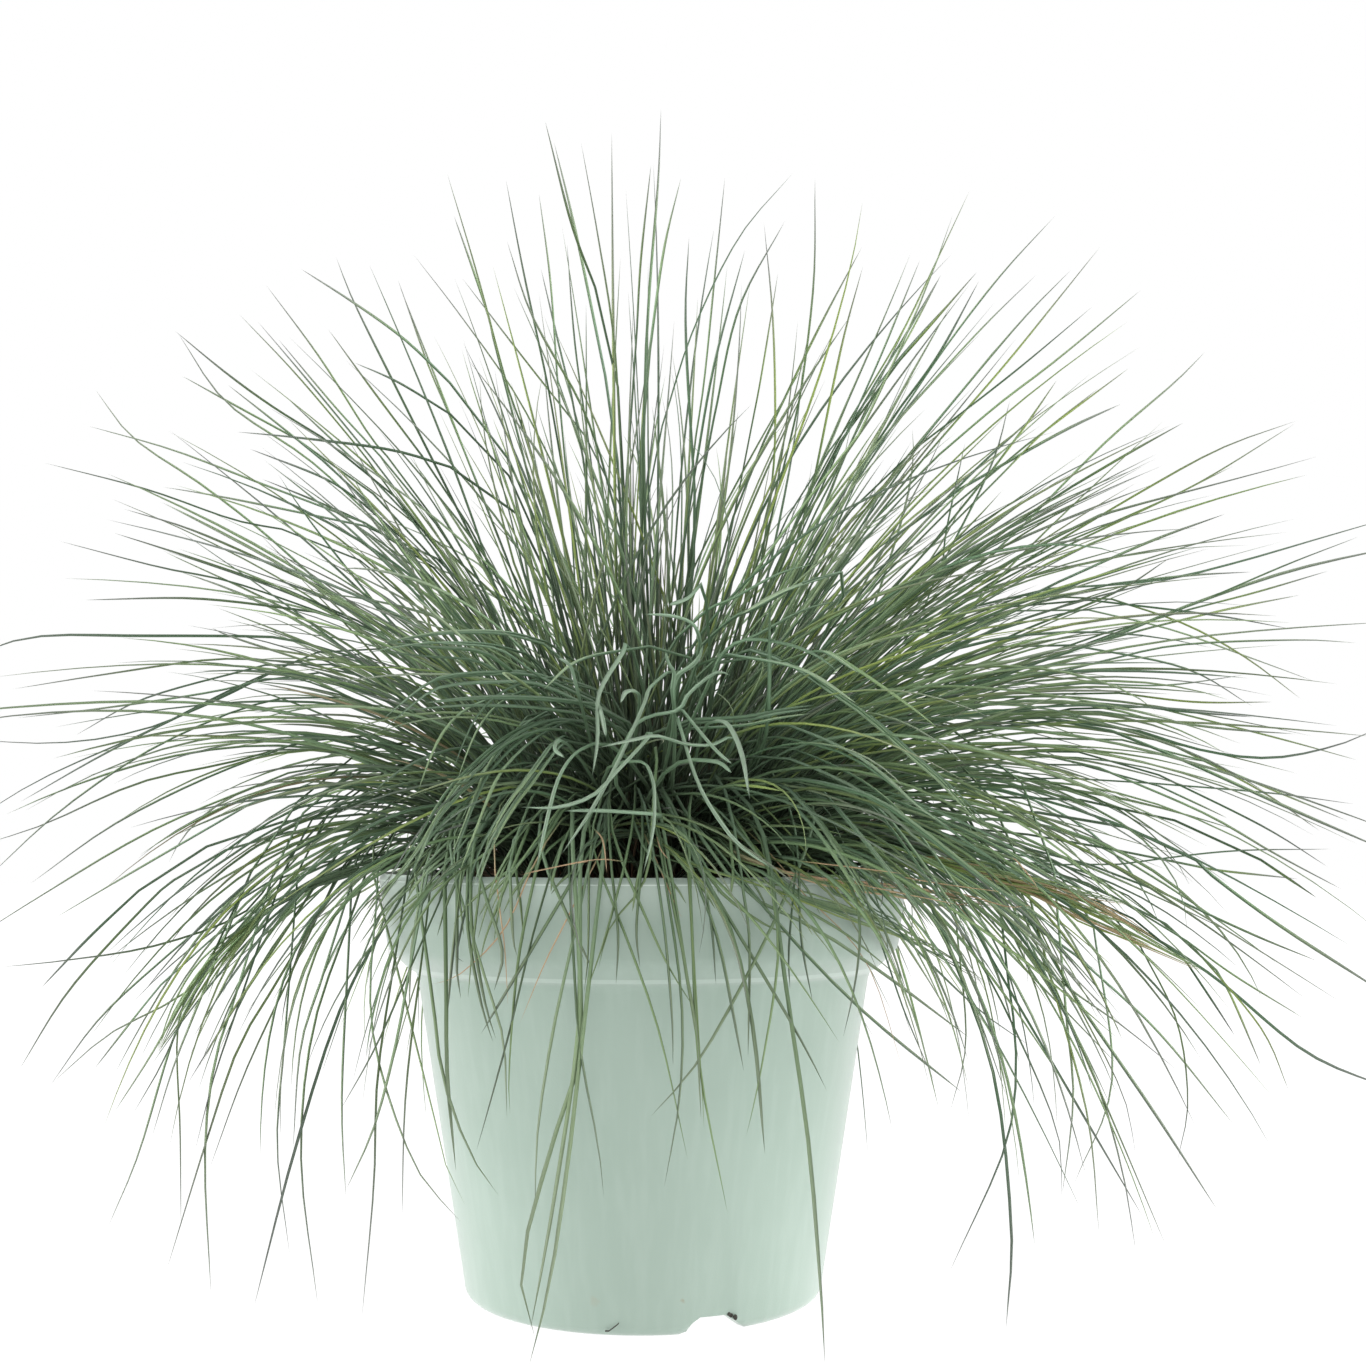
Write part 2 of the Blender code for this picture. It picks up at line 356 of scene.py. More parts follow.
deselect()
pot.select_set(True)
bpy.context.view_layer.objects.active = pot
bpy.ops.object.shade_smooth_by_angle(angle=SMOOTH_BELOW)
print(f"pot after cutting: {len(pot.data.polygons)} faces")

# %% [markdown]
# ## The pot's plastic
#
# The plastic is a pale, slightly cloudy mint with a satin skin. It has fine flow lines up the
# wall, and the dust, stains and specks of a plant that has stood in a nursery. Painted light
# makes the wall above the crease a little paler and the top of the band, up to the lip, much
# paler, and painted highlights draw pale lines at the lip's edge and where the wall folds at the
# crease. All of it is worked out from the place on the pot.

# %% The pot's plastic
DEEP_MINT = (0.312, 0.406, 0.344)
MINT = (0.335, 0.431, 0.368)
FLOW_MINT = (0.62, 0.72, 0.66)
# painted light on the wall above the crease and towards the lip
PAINTED_LIGHT_MINT = (0.60, 0.71, 0.64)
# colour of the painted highlights
HIGHLIGHT_MINT = (0.80, 0.90, 0.84)
DUST = (0.42, 0.38, 0.30)
PAINTED_HIGHLIGHTS = (
    # height, half its width, strength of the painted highlight: the crease and the lip
    (81.2 * MM, 0.5 * MM, 0.22),
    (102.4 * MM, 0.15 * MM, 0.80),
)
plastic = new_finish("mint_plastic")
height = plastic.node("ShaderNodeSeparateXYZ", {}, {0: plastic.place()}, "Z")
cloud = plastic.noise(plastic.place(), 28.0, 3.0)
flow = plastic.noise(plastic.place((1.0, 1.0, 0.06)), 420.0, 2.0)
grain = plastic.noise(plastic.place(), 2600.0, 2.0)
mint = plastic.blend(cloud.step(0.35, 0.70), DEEP_MINT, MINT)
mint = plastic.blend(flow.step(0.40, 0.75) * 0.07, mint, FLOW_MINT)
# Painted light: the wall above the crease a little paler, towards the lip much paler.
band = height.step(81.0 * MM, 83.0 * MM) * 0.05
lip = height.step(93.0 * MM, 103.5 * MM) * 0.55
mint = plastic.blend(band + lip, mint, PAINTED_LIGHT_MINT)
# Painted highlights: thin pale lines at the crease and at the lip's edge.
for level, half_width, strength in PAINTED_HIGHLIGHTS:
    edge = height.math("COMPARE", height, level, half_width)
    mint = plastic.blend(edge * strength, mint, HIGHLIGHT_MINT)


def stain(mint, pixel, size, strength, colour):
    """A small soft stain on the pot's front, where the photograph shows one."""
    middle = seen_round_pot(pixel, wall_radius(pixel))
    offset = plastic.node("ShaderNodeVectorMath", {"operation": "DISTANCE"},
                          {0: plastic.place(), 1: tuple(middle)}, "Value")
    ragged = offset + (plastic.noise(plastic.place(), 900.0, 2.0) - 0.5) * size
    return plastic.blend((1.0 - ragged.step(size * 0.3, size)) * strength, mint, colour)


def wall_radius(pixel):
    """Outer radius at a pixel's height, as if the pot had no crease, slanted rim or round foot."""
    height = seen_at(pixel, CAMERA_DISTANCE - BODY_TOP[0])[2]
    if height > BODY_TOP[1]:
        return RIM_RADIUS - 1.5 * MM
    share = (height - BODY_BOTTOM[1]) / (BODY_TOP[1] - BODY_BOTTOM[1])
    return BODY_BOTTOM[0] + max(share, 0.0) * (BODY_TOP[0] - BODY_BOTTOM[0])


STAINS = (
    # pixel, radius, strength, colour
    ((598, 977), 2.2 * MM, 0.55, (0.42, 0.56, 0.16)),
    ((708, 888), 0.7 * MM, 1.00, (0.02, 0.02, 0.02)),
    ((606, 1317), 0.5 * MM, 0.90, (0.08, 0.06, 0.05)),
    ((683, 1302), 0.9 * MM, 0.75, (0.26, 0.19, 0.09)),
    ((594, 1302), 1.6 * MM, 0.25, (0.34, 0.28, 0.18)),
    ((843, 970), 0.7 * MM, 0.60, (0.30, 0.32, 0.28)),
    ((856, 1068), 0.6 * MM, 0.80, (0.12, 0.11, 0.10)),
    ((803, 1137), 0.4 * MM, 0.90, (0.06, 0.06, 0.05)),
)
for pixel, size, strength, colour in STAINS:
    mint = stain(mint, pixel, size, strength, colour)
dust = plastic.noise(plastic.place(), 150.0, 4.0, 0.7).step(0.66, 0.80) * (1.0 - height.step(2 * MM, 30 * MM))
mint = plastic.blend(dust * 0.30, mint, DUST)
skin = plastic.node("ShaderNodeBump", {}, {"Strength": 0.10, "Distance": 0.0003, "Height": grain})
pot.data.materials.clear()
pot.data.materials.append(plastic.finish(
    Base_Color=mint, Roughness=0.40 + cloud * 0.12, Normal=skin, Specular_IOR_Level=0.55,
    Sheen_Weight=0.6, Sheen_Roughness=0.4))
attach(pot, "root")
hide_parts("pot")
print(f"plastic: {len(plastic.tree.nodes)} nodes, {len(STAINS)} stains")

# %% [markdown]
# ## The soil
#
# Between the blades the dark peat shows through. It is a root ball that fills the pot, level
# under the crown and a little lower at the wall, with a crumbly top. The plug is drawn out of a
# disc like the pot, and the many points of its top are pushed up and down by noise.

# %% The soil
SOIL_SIDES = 60
SOIL_RINGS = 14
SOIL_EDGE = (61.6 * MM, 91.5 * MM)
SOIL_START = (42.6 * MM, 5.9 * MM)
TOP_REACH = 0.99
CRUMBLY_REACH = 60 * MM


def soil_height(share):
    """Height of the soil at a share of the way from the middle to its edge."""
    return SOIL_LEVEL - (SOIL_LEVEL - SOIL_EDGE[1]) * share ** 3


soil_rings = in_mm((54.0, 79.6), (59.8, 86.5), (61.3, 88.5)) + [SOIL_EDGE]
for step in range(SOIL_RINGS, 0, -1):
    share = step / SOIL_RINGS
    soil_rings.append((SOIL_EDGE[0] * share * TOP_REACH, soil_height(share)))
soil = draw_out("root_ball", SOIL_SIDES, SOIL_START, soil_rings)

crumbs = bpy.data.textures.new("crumbs", "CLOUDS")
crumbs.noise_scale = 0.006
crumbs.noise_depth = 3
top_points = soil.vertex_groups.new(name="top")
top_points.add([v.index for v in soil.data.vertices
                if v.co.z > SOIL_EDGE[1] - MM and v.co.to_2d().length < CRUMBLY_REACH], 1.0, "REPLACE")
lumps = soil.modifiers.new("lumps", "DISPLACE")
lumps.texture = crumbs
lumps.strength = 3.0 * MM
lumps.mid_level = 0.55
lumps.direction = "Z"
lumps.texture_coords = "LOCAL"
lumps.vertex_group = "top"
bpy.ops.object.modifier_apply(modifier=lumps.name)
bpy.ops.object.shade_smooth()
print(f"soil: {len(soil.data.polygons)} faces")

# %% [markdown]
# Peat is a mix of dark and pale brown crumbs, so its colour and its bump come from one noise,
# with finer pale specks on top.

# %% Peat
DARK_PEAT = (0.115, 0.066, 0.045)
PALE_PEAT = (0.330, 0.200, 0.135)
FIBRE = (0.36, 0.25, 0.17)
earth = new_finish("peat")
crumb = earth.noise(earth.place(), 420.0, 6.0, 0.65)
speck = earth.noise(earth.place(), 1500.0, 2.0)
brown = earth.blend(crumb.step(0.35, 0.70), DARK_PEAT, PALE_PEAT)
brown = earth.blend(speck.step(0.62, 0.72) * 0.5, brown, FIBRE)
rough = earth.node("ShaderNodeBump", {}, {"Strength": 0.8, "Distance": 0.0012, "Height": crumb})
peat = earth.finish(Base_Color=brown, Roughness=0.92, Normal=rough)
soil.data.materials.clear()
soil.data.materials.append(peat)
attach(soil, "root")
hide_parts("soil")
print(f"peat: {len(earth.tree.nodes)} nodes")

# %% [markdown]
# Loose crumbs of peat lie on top. A coarse ball gives the points of one lump, and a single mesh
# is filled with dented, squeezed and turned copies of it from arrays, because hundreds of objects
# would be slow.

# %% Crumbs
CRUMBS = 260
CRUMB_SIZE = 1.0 * MM
CRUMB_REACH = 58 * MM
CRUMB_SEED = 5
dice = np.random.default_rng(CRUMB_SEED)
deselect()
bpy.ops.mesh.primitive_ico_sphere_add(subdivisions=1, radius=1.0)
lump = bpy.context.object
lump_points = np.array([vert.co for vert in lump.data.vertices])
lump_faces = [tuple(face.vertices) for face in lump.data.polygons]
bpy.data.objects.remove(lump)


def crumb_mesh(name, places, sizes, material):
    """One mesh of many lumps, each squeezed and turned its own way."""
    points = []
    faces = []
    for place, size in zip(places, sizes):
        squeeze = dice.uniform(0.5, 1.1, 3) * size
        turn = dice.uniform(0, math.tau)
        bumpy = lump_points * dice.uniform(0.75, 1.1, (len(lump_points), 1)) * squeeze
        turned = np.stack([bumpy[:, 0] * math.cos(turn) - bumpy[:, 1] * math.sin(turn),
                           bumpy[:, 0] * math.sin(turn) + bumpy[:, 1] * math.cos(turn), bumpy[:, 2]], axis=1)
        faces += [tuple(corner + len(points) for corner in face) for face in lump_faces]
        points += (turned + place).tolist()
    mesh = bpy.data.meshes.new(name)
    mesh.from_pydata(points, [], faces)
    mesh.materials.append(material)
    return mesh


around = dice.uniform(0, math.tau, CRUMBS)
out = CRUMB_REACH * np.sqrt(dice.random(CRUMBS))
crumb_places = np.stack([out * np.cos(around), out * np.sin(around), soil_height(out / SOIL_EDGE[0])], axis=1)
crumbs_on_soil = bpy.data.objects.new("soil_crumbs", crumb_mesh(
    "soil_crumbs", crumb_places, dice.uniform(0.5, 1.6, CRUMBS) * CRUMB_SIZE, peat))
bpy.context.scene.collection.objects.link(crumbs_on_soil)
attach(crumbs_on_soil, "root")
print(f"{CRUMBS} crumbs, {len(crumbs_on_soil.data.polygons)} faces")

# %% [markdown]
# Two bits of the potting mix cling to the pot: a clod in the slope of the front notch, and a
# short bent root at the foot. The clod is a heap of the same lumps, and the root is a thin
# cylinder whose end is extruded twice.

# %% Bits that cling to the pot
CLOD_PIXEL = (731, 1315)
CLOD_LUMPS = 18
CLOD_HALF = (1.2 * MM, 0.2 * MM, 0.3 * MM)
CLOD_SLOPE = 0.45
ROOT_PIXELS = ((605, 1331), (609, 1331), (617, 1325), (619, 1323))
ROOT_RADIUS = 0.18 * MM
WET_BLACK = (0.016, 0.018, 0.014)
WET_BROWN = (0.075, 0.070, 0.055)

damp = new_finish("damp_bits")
damp_grain = damp.noise(damp.place(), 900.0, 2.0)
bits = damp.finish(Base_Color=damp.blend(damp_grain, WET_BLACK, WET_BROWN), Roughness=0.85)
clod_middle = seen_round_pot(CLOD_PIXEL, BODY_BOTTOM[0] + 0.1 * MM)
clod_places = clod_middle + dice.uniform(-1, 1, (CLOD_LUMPS, 3)) * CLOD_HALF
clod_places[:, 2] -= CLOD_SLOPE * (clod_places[:, 0] - clod_middle[0])
clod_sizes = dice.uniform(0.25, 0.65, CLOD_LUMPS) * MM
clod = bpy.data.objects.new("clod", crumb_mesh("clod", clod_places, clod_sizes, bits))
bpy.context.scene.collection.objects.link(clod)

root_places = [Vector(seen_round_pot(pixel, wall_radius(pixel) + ROOT_RADIUS)) for pixel in ROOT_PIXELS]
deselect()
bpy.ops.mesh.primitive_circle_add(vertices=6, radius=ROOT_RADIUS, fill_type="NGON",
                                  location=root_places[0], rotation=(0, math.radians(90), 0))
loose_root = bpy.context.object
loose_root.name = "loose_root"
bpy.ops.object.transform_apply()
bpy.ops.object.mode_set(mode="EDIT")
bpy.ops.mesh.select_all(action="SELECT")
for here, there in zip(root_places, root_places[1:]):
    bpy.ops.mesh.extrude_region_move(TRANSFORM_OT_translate={"value": there - here})
bpy.ops.mesh.select_all(action="SELECT")
bpy.ops.mesh.normals_make_consistent(inside=False)
bpy.ops.object.mode_set(mode="OBJECT")
loose_root.data.materials.append(bits)
for piece in (clod, loose_root):
    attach(piece, "root")
print(f"clod at {clod_middle[2] / MM:.1f} mm, root {len(loose_root.data.polygons)} faces")

# %% [markdown]
# ## How a blade grows
#
# A fescue blade is rolled lengthwise into a thread, under a millimetre wide. It leaves its tuft
# at a small lean, and its own weight turns it further over along its length. So a path is found
# by walking up the blade in short steps with a lean that grows from its first to its last value.
# The seven rings of tufts repeat the frame's table: the further out a tuft stands, the further
# its blades turn over, from upright in the middle to hanging over the rim.

# %% How a blade grows
STEPS = 18
BEND_LENGTH = 190.0 * MM
RINGS = (
    # tufts, straight part, first lean, last lean, bend power, longest blade
    (1, 40 * MM, 0, 0, 2.5, 200 * MM),
    (5, 36 * MM, 8, 25, 2.5, 197 * MM),
    (8, 30 * MM, 14, 51, 2.5, 202 * MM),
    (10, 24 * MM, 19, 79, 2.5, 199 * MM),
    (12, 18 * MM, 24, 107, 2.5, 196 * MM),
    (9, 12 * MM, 28, 143, 3.2, 178 * MM),
    (6, 8 * MM, 30, 174, 4.6, 150 * MM),
)


def walk(root, azimuth, straight, first, last, power, length, drift, kink, kink_at):
    """Paths of many blades at once: arrays of one value per blade give (blades, STEPS + 1, 3)."""
    share = (np.arange(STEPS) + 0.5) / STEPS
    gone = np.clip((np.outer(length, share) - straight) / BEND_LENGTH, 0.0, 1.0)
    bent = 1.0 - (1.0 - gone) ** power[:, None]
    lean = first[:, None] + (last - first)[:, None] * bent
    lean = lean + np.where(share[None, :] > kink_at[:, None], kink[:, None], 0.0)
    turned = azimuth[:, None] + drift[:, None] * share[None, :] ** 2
    lean = np.radians(lean)
    stride = (length / STEPS)[:, None]
    moves = np.stack([np.cos(turned) * np.sin(lean), np.sin(turned) * np.sin(lean), np.cos(lean)], axis=2)
    path = np.zeros((len(length), STEPS + 1, 3))
    path[:, 1:] = np.cumsum(moves * stride[:, :, None], axis=1)
    return path + root[:, None, :]


LOWEST = 2.0 * MM
BOX_SPARE = 10 * MM
TALLEST = solid_box[1][2] + BOX_SPARE
REACH = solid_box[1][0] + BOX_SPARE
POT_GAP = 1.2 * MM
ROOT_REACH = 42 * MM
ARCH_START = 48 * MM
ARCH_WIDTH = 10 * MM
CHECKS_PER_STEP = 4


def clear_of_pot(paths):
    """True for each blade that keeps the gap to the rim and the side, and stays in the box."""
    parts = np.linspace(0, 1, CHECKS_PER_STEP + 1)[:-1, None, None, None]
    fine = paths[None, :, :-1] * (1 - parts) + paths[None, :, 1:] * parts
    radius = np.hypot(fine[..., 0], fine[..., 1])
    height = fine[..., 2]
    rise = np.clip((radius - ARCH_START) / ARCH_WIDTH, 0, 1)
    allowed = SOIL_LEVEL + (POT_HEIGHT + POT_GAP - SOIL_LEVEL) * rise
    under = (radius > ROOT_REACH) & (radius < RIM_RADIUS + POT_GAP) & (height < allowed)
    outside = (height < LOWEST) | (height > TALLEST) | (np.abs(fine[..., :2]).max(axis=-1) > REACH)
    return ~(under | outside).any(axis=(0, 2))


print(f"{sum(ring[0] for ring in RINGS)} tufts in {len(RINGS)} rings")

# %% [markdown]
# ## From a path to a blade
#
# Each path gets a three-sided tube, which is what a rolled leaf looks like from outside: a broad
# back with a bluish bloom and two greener flanks. It narrows a little at the foot and runs out in
# a point, which starts at its own share of the blade. All blades of a tuft are joined in one
# mesh, made from arrays, because there are far too many to model one by one. The points carry
# four numbers for the material: how far along the blade they are, the blade's own tone, how dry
# it is, and how much its tip fades. The UV map's first value runs round the blade, so the
# material can tell back from flank.

# %% From a path to a blade
SIDES = 3
BLADE_DEPTH = 0.62
FOOT_WIDTH = 0.75
FOOT_SHARE = 0.15
POINT_POWER = 0.6


class Bunch:
    """Blades that will be joined in one mesh."""

    def __init__(self):
        self.paths = []
        self.widths = []
        self.tones = []
        self.dryness = []
        self.fades = []
        self.tapers = []
        self.rolls = []

    def add(self, paths, widths, tones, dryness, fades, tapers, rolls):
        self.paths += list(paths)
        self.widths += list(widths)
        self.tones += list(tones)
        self.dryness += list(dryness)
        self.fades += list(fades)
        self.tapers += list(tapers)
        self.rolls += list(rolls)


def unit(vectors):
    return vectors / np.maximum(np.linalg.norm(vectors, axis=-1, keepdims=True), 1e-9)


def tube_points(paths, widths, tapers, rolls):
    """Points of the tubes round the paths: (blades, STEPS, SIDES, 3), without the tips."""
    ahead = unit(np.diff(paths, axis=1))
    tangent = unit(np.concatenate([ahead[:, :1], ahead[:, 1:] + ahead[:, :-1]], axis=1))
    up = np.tile([0.0, 0.0, 1.0], (len(paths), 1))
    across = np.cross(tangent[:, 0], up) + np.array([1e-4, 2e-4, 0.0])
    sides = []
    for step in range(tangent.shape[1]):
        along = tangent[:, step]
        across = unit(across - (across * along).sum(1, keepdims=True) * along)
        turn = rolls * (0.4 + step / STEPS)
        normal = np.cross(along, across)
        sides.append([
            across * np.cos(turn)[:, None] + normal * np.sin(turn)[:, None],
            normal * np.cos(turn)[:, None] - across * np.sin(turn)[:, None],
        ])
    frames = np.array(sides).transpose(2, 0, 1, 3)
    share = np.arange(tangent.shape[1]) / tangent.shape[1]
    narrow = np.clip((1.0 - share) / (1.0 - tapers[:, None]), 0.0, 1.0) ** POINT_POWER
    narrow = narrow * (FOOT_WIDTH + (1.0 - FOOT_WIDTH) * np.clip(share / FOOT_SHARE, 0, 1))
    size = widths[:, None] * narrow / 2
    wide = frames[:, :, 0] * size[..., None]
    deep = frames[:, :, 1] * (size * BLADE_DEPTH * 2)[..., None]
    centre = paths[:, :-1]
    return np.stack([centre - wide - deep / 3, centre + wide - deep / 3, centre + deep * 2 / 3], axis=2)


def blade_pattern(rings):
    """Corners of one blade's faces, and the place of each corner on the UV map."""
    faces = []
    places = []
    for ring in range(rings - 1):
        for side in range(SIDES):
            after = (side + 1) % SIDES
            low, high = ring * SIDES, (ring + 1) * SIDES
            faces.append((low + side, low + after, high + after, high + side))
            left, right = side / SIDES, (side + 1) / SIDES
            bottom, top = ring / rings, (ring + 1) / rings
            places += [(left, bottom), (right, bottom), (right, top), (left, top)]
    last = (rings - 1) * SIDES
    for side in range(SIDES):
        faces.append((last + side, last + (side + 1) % SIDES, last + SIDES))
        left, right = side / SIDES, (side + 1) / SIDES
        bottom = (rings - 1) / rings
        places += [(left, bottom), (right, bottom), (right, 1.0)]
    faces.append((2, 1, 0))
    places += [(0, 0), (0.5, 0), (1, 0)]
    return faces, places


def bunch_mesh(name, bunch):
    """One mesh of all the bunch's blades, with its UV map and point values."""
    paths = np.array(bunch.paths)
    blades, rings = len(paths), paths.shape[1] - 1
    body = tube_points(paths, np.array(bunch.widths), np.array(bunch.tapers), np.array(bunch.rolls))
    points = np.concatenate([body.reshape(blades, -1, 3), paths[:, -1:]], axis=1)
    per_blade = points.shape[1]
    pattern, places = blade_pattern(rings)
    faces = []
    for start in range(0, blades * per_blade, per_blade):
        faces += [tuple(corner + start for corner in face) for face in pattern]
    mesh = bpy.data.meshes.new(name)
    mesh.from_pydata(points.reshape(-1, 3).tolist(), [], faces)
    corners = np.array(places, dtype=np.float32)
    mesh.uv_layers.new(name="blade").data.foreach_set("uv", np.tile(corners, (blades, 1)).ravel())
    along = np.append(np.repeat(np.arange(rings) / rings, SIDES), 1.0)
    values = {
        "along": np.tile(along, blades),
        "tone": np.repeat(bunch.tones, per_blade),
        "dry": np.repeat(bunch.dryness, per_blade),
        "fade": np.repeat(bunch.fades, per_blade),
    }
    for key, numbers in values.items():
        mesh.attributes.new(key, "FLOAT", "POINT").data.foreach_set("value", numbers.astype(np.float32))
    mesh.polygons.foreach_set("use_smooth", [True] * len(mesh.polygons))
    mesh.update()
    return mesh


print(f"a blade has {len(blade_pattern(STEPS)[0])} faces")

# %% [markdown]
# ## The field of blades
#
# A tuft is a few tillers, and each tiller is a little fan of blades that go the same way, which
# gives the clump its strands. The photograph's clump isn't even: it is shorter on the left and in
# front, and thinner in a few directions. Its back doesn't show, so the blades there are a guess:
# they are a little longer, because they are further off and still have to reach the outline. The
# dice have a fixed seed, so the plant is the same each time.

# %% The field of blades
CROWN_RADIUS = 46.0 * MM
TILLERS = 10
BLADES_PER_TILLER = 4
LONG_SHARE = 0.32
WILD_SHARE = 0.20
DEAD_SHARE = 0.007
FRONT_GONE = 0.30
PARTING = 0.60
LEFT_GONE = 0.30
LEFT_SHORTER = 0.16
FRONT_SHORTER = 0.50
BACK_LONGER = 0.13
HANGING_LEAN = 105
RIGHT_LIFT = 14
INNER_SHARE = 0.62
TILLER_APART = 3.6 * MM
BLADE_APART = 0.5 * MM
ROOT_DEPTH = 2 * MM
TILLER_LEAN = 14
BLADE_LEAN = 17
LEAN_AT_FOOT = 7
BLADE_TURN = 0.23
WILD_TIMES = 2.2
LONG_SIZES = (0.75, 0.94)
SHORT_SIZES = (0.42, 0.78)
DRIFT = 0.50
KINKED_SHARE = 0.15
KINK = 9
BLADE_WIDTHS = (0.56, 0.81)
TAPER_STARTS = (0.55, 0.82)
THROWS = 12
GAP_STEP = 13
GAPS = (
    # direction in the photograph's plane from +X, its reach, both in degrees, share left out
    (168, 14, 0.90),
    (142, 20, 0.35),
    (54, 12, 0.20),
    (72, 13, 0.55),
    (92, 12, 0.15),
    (112, 16, 0.40),
    (28, 14, 0.15),
    (-12, 12, 0.25),
    (-38, 26, 0.95),
    (-66, 26, 0.80),
    (-142, 20, 0.60),
)
SEED = 12
FRONT = math.radians(-90)
THIN_LEFT = math.radians(165)
rng = np.random.default_rng(SEED)


def foot_of(name):
    """Middle of a tuft's foot, from the points of its solid that stand on the soil."""
    points = np.array([vert.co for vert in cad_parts[name].data.vertices])
    in_crown = np.hypot(points[:, 0], points[:, 1]) < CROWN_RADIUS
    at_soil = np.abs(points[:, 2] - SOIL_LEVEL) < 0.5 * MM
    return points[in_crown & at_soil].mean(axis=0)


def ring_of(index):
    for ring in RINGS:
        if index < ring[0]:
            return ring
        index -= ring[0]
    raise ValueError("more tufts than the rings hold")


def facing(azimuth, middle, reach):
    """1 for blades that go towards an azimuth, falling to 0 at some reach from it."""
    off = np.abs((azimuth - middle + math.pi) % math.tau - math.pi)
    return np.clip(1.0 - off / reach, 0.0, 1.0)


print(f"{TILLERS} tillers of {BLADES_PER_TILLER} blades for a tuft, {len(GAPS)} thinner directions")

# %% [markdown]
# For every tuft the script throws the dice for its tillers, then for their blades. The front is
# parted: blades that would come straight at the camera turn to either side.

# %% Throwing the blades of a tuft


def throw(foot, ring, count):
    """Random numbers for the blades of one tuft, grouped in tillers."""
    tufts, straight, first, last, power, longest = ring
    tillers = max(1, count // BLADES_PER_TILLER)
    member = np.arange(count) % tillers
    centred = tufts == 1
    outwards = 0.0 if centred else math.atan2(foot[1], foot[0])
    reach = math.pi if centred else min(2.3 * math.pi / tufts, 1.2)
    spread_lean = rng.normal(0, TILLER_LEAN, tillers)
    if centred:
        spread_lean = np.abs(spread_lean)
    azimuth = outwards + rng.uniform(-reach, reach, tillers)
    root = np.array(foot)[None, :] + rng.normal(0, TILLER_APART, (tillers, 3)) * (1, 1, 0)
    near = member[:, None] == np.arange(tillers)[None, :]
    root = near @ root + rng.normal(0, BLADE_APART, (count, 3)) * (1, 1, 0)
    root[:, 2] = SOIL_LEVEL - ROOT_DEPTH
    wild = np.where(rng.random(count) < WILD_SHARE, WILD_TIMES, 1.0)
    azimuth = near @ azimuth + wild * rng.normal(0, BLADE_TURN, count)
    off_front = (azimuth - FRONT + math.pi) % math.tau - math.pi
    azimuth = azimuth + PARTING * np.sign(off_front) * facing(azimuth, FRONT, math.radians(75))
    lean = near @ spread_lean + wild * rng.normal(0, BLADE_LEAN, count)
    long_ones = rng.random(count) < LONG_SHARE
    size = np.where(long_ones, rng.uniform(*LONG_SIZES, count), rng.uniform(*SHORT_SIZES, count))
    size = size * (1.0 - LEFT_SHORTER * facing(azimuth, math.pi, math.radians(80)))
    droops = 1.0 if last > HANGING_LEAN else 0.25
    size = size * (1.0 - FRONT_SHORTER * droops * facing(azimuth, FRONT, math.radians(65)))
    size = size * (1.0 + BACK_LONGER * facing(azimuth, -FRONT, math.radians(70)))
    return {
        "root": root,
        "azimuth": azimuth,
        "straight": straight,
        "first": first + 0.35 * lean + rng.normal(0, LEAN_AT_FOOT, count),
        "last": last + lean - RIGHT_LIFT * facing(azimuth, 0.0, math.radians(75)) * (last > HANGING_LEAN),
        "power": power * rng.uniform(0.65, 1.5, count),
        "length": longest * size,
        "drift": rng.normal(0, DRIFT, count),
        "kink": np.where(rng.random(count) < KINKED_SHARE, rng.normal(0, KINK, count), 0.0),
        "kink_at": rng.uniform(0.3, 0.8, count),
    }


print(f"tillers are about {TILLER_APART / MM:.1f} mm apart, their blades {BLADE_APART / MM:.1f} mm")

# %% [markdown]
# The throws are repeated until a tuft has enough blades that are clear of the pot. A few
# directions then lose a share of theirs.

# %% Growing the tufts


def in_gap(paths):
    """True for blades that are left out, because the clump is thinner in a few directions."""
    direction = np.arctan2(paths[:, GAP_STEP, 2] - SOIL_LEVEL, paths[:, GAP_STEP, 0])
    gone = np.zeros(len(paths))
    for middle, reach, share in GAPS:
        gone += share * facing(direction, math.radians(middle), math.radians(reach))
    return rng.random(len(paths)) < gone


def grow_tuft(bunch, foot, ring, count):
    """Adds random blades to a bunch, thrown again until they are clear of the pot."""
    kept = np.zeros((0, STEPS + 1, 3))
    outwards = math.atan2(foot[1], foot[0])
    in_front = facing(outwards, FRONT, math.radians(60)) * (ring[0] > 5)
    on_left = facing(outwards, THIN_LEFT, math.radians(50)) * (ring[0] > 5)
    count = round(count * (1.0 - FRONT_GONE * in_front) * (1.0 - LEFT_GONE * on_left))
    for _ in range(THROWS):
        paths = walk(**throw(foot, ring, max(count, BLADES_PER_TILLER)))
        kept = np.concatenate([kept, paths[clear_of_pot(paths)]])
        if len(kept) >= count:
            break
    kept = kept[:count]
    kept = kept[~in_gap(kept)]
    number = len(kept)
    dead = DEAD_SHARE * (ring[3] > HANGING_LEAN)
    dry = np.where(rng.random(number) < dead, rng.uniform(0.3, 0.7, number), 0.0)
    bunch.add(kept, rng.uniform(*BLADE_WIDTHS, number) * MM, rng.random(number), dry,
              rng.uniform(0.0, 0.9, number), rng.uniform(*TAPER_STARTS, number),
              rng.uniform(-2.5, 2.5, number))


bunches = {}
for index, name in enumerate(tuft_names):
    bunches[name] = Bunch()
    ring = ring_of(index)
    share = INNER_SHARE if ring[3] < 60 else 1.0
    grow_tuft(bunches[name], foot_of(name), ring, round(TILLERS * BLADES_PER_TILLER * share))
print(f"{sum(len(bunch.paths) for bunch in bunches.values())} blades thrown")

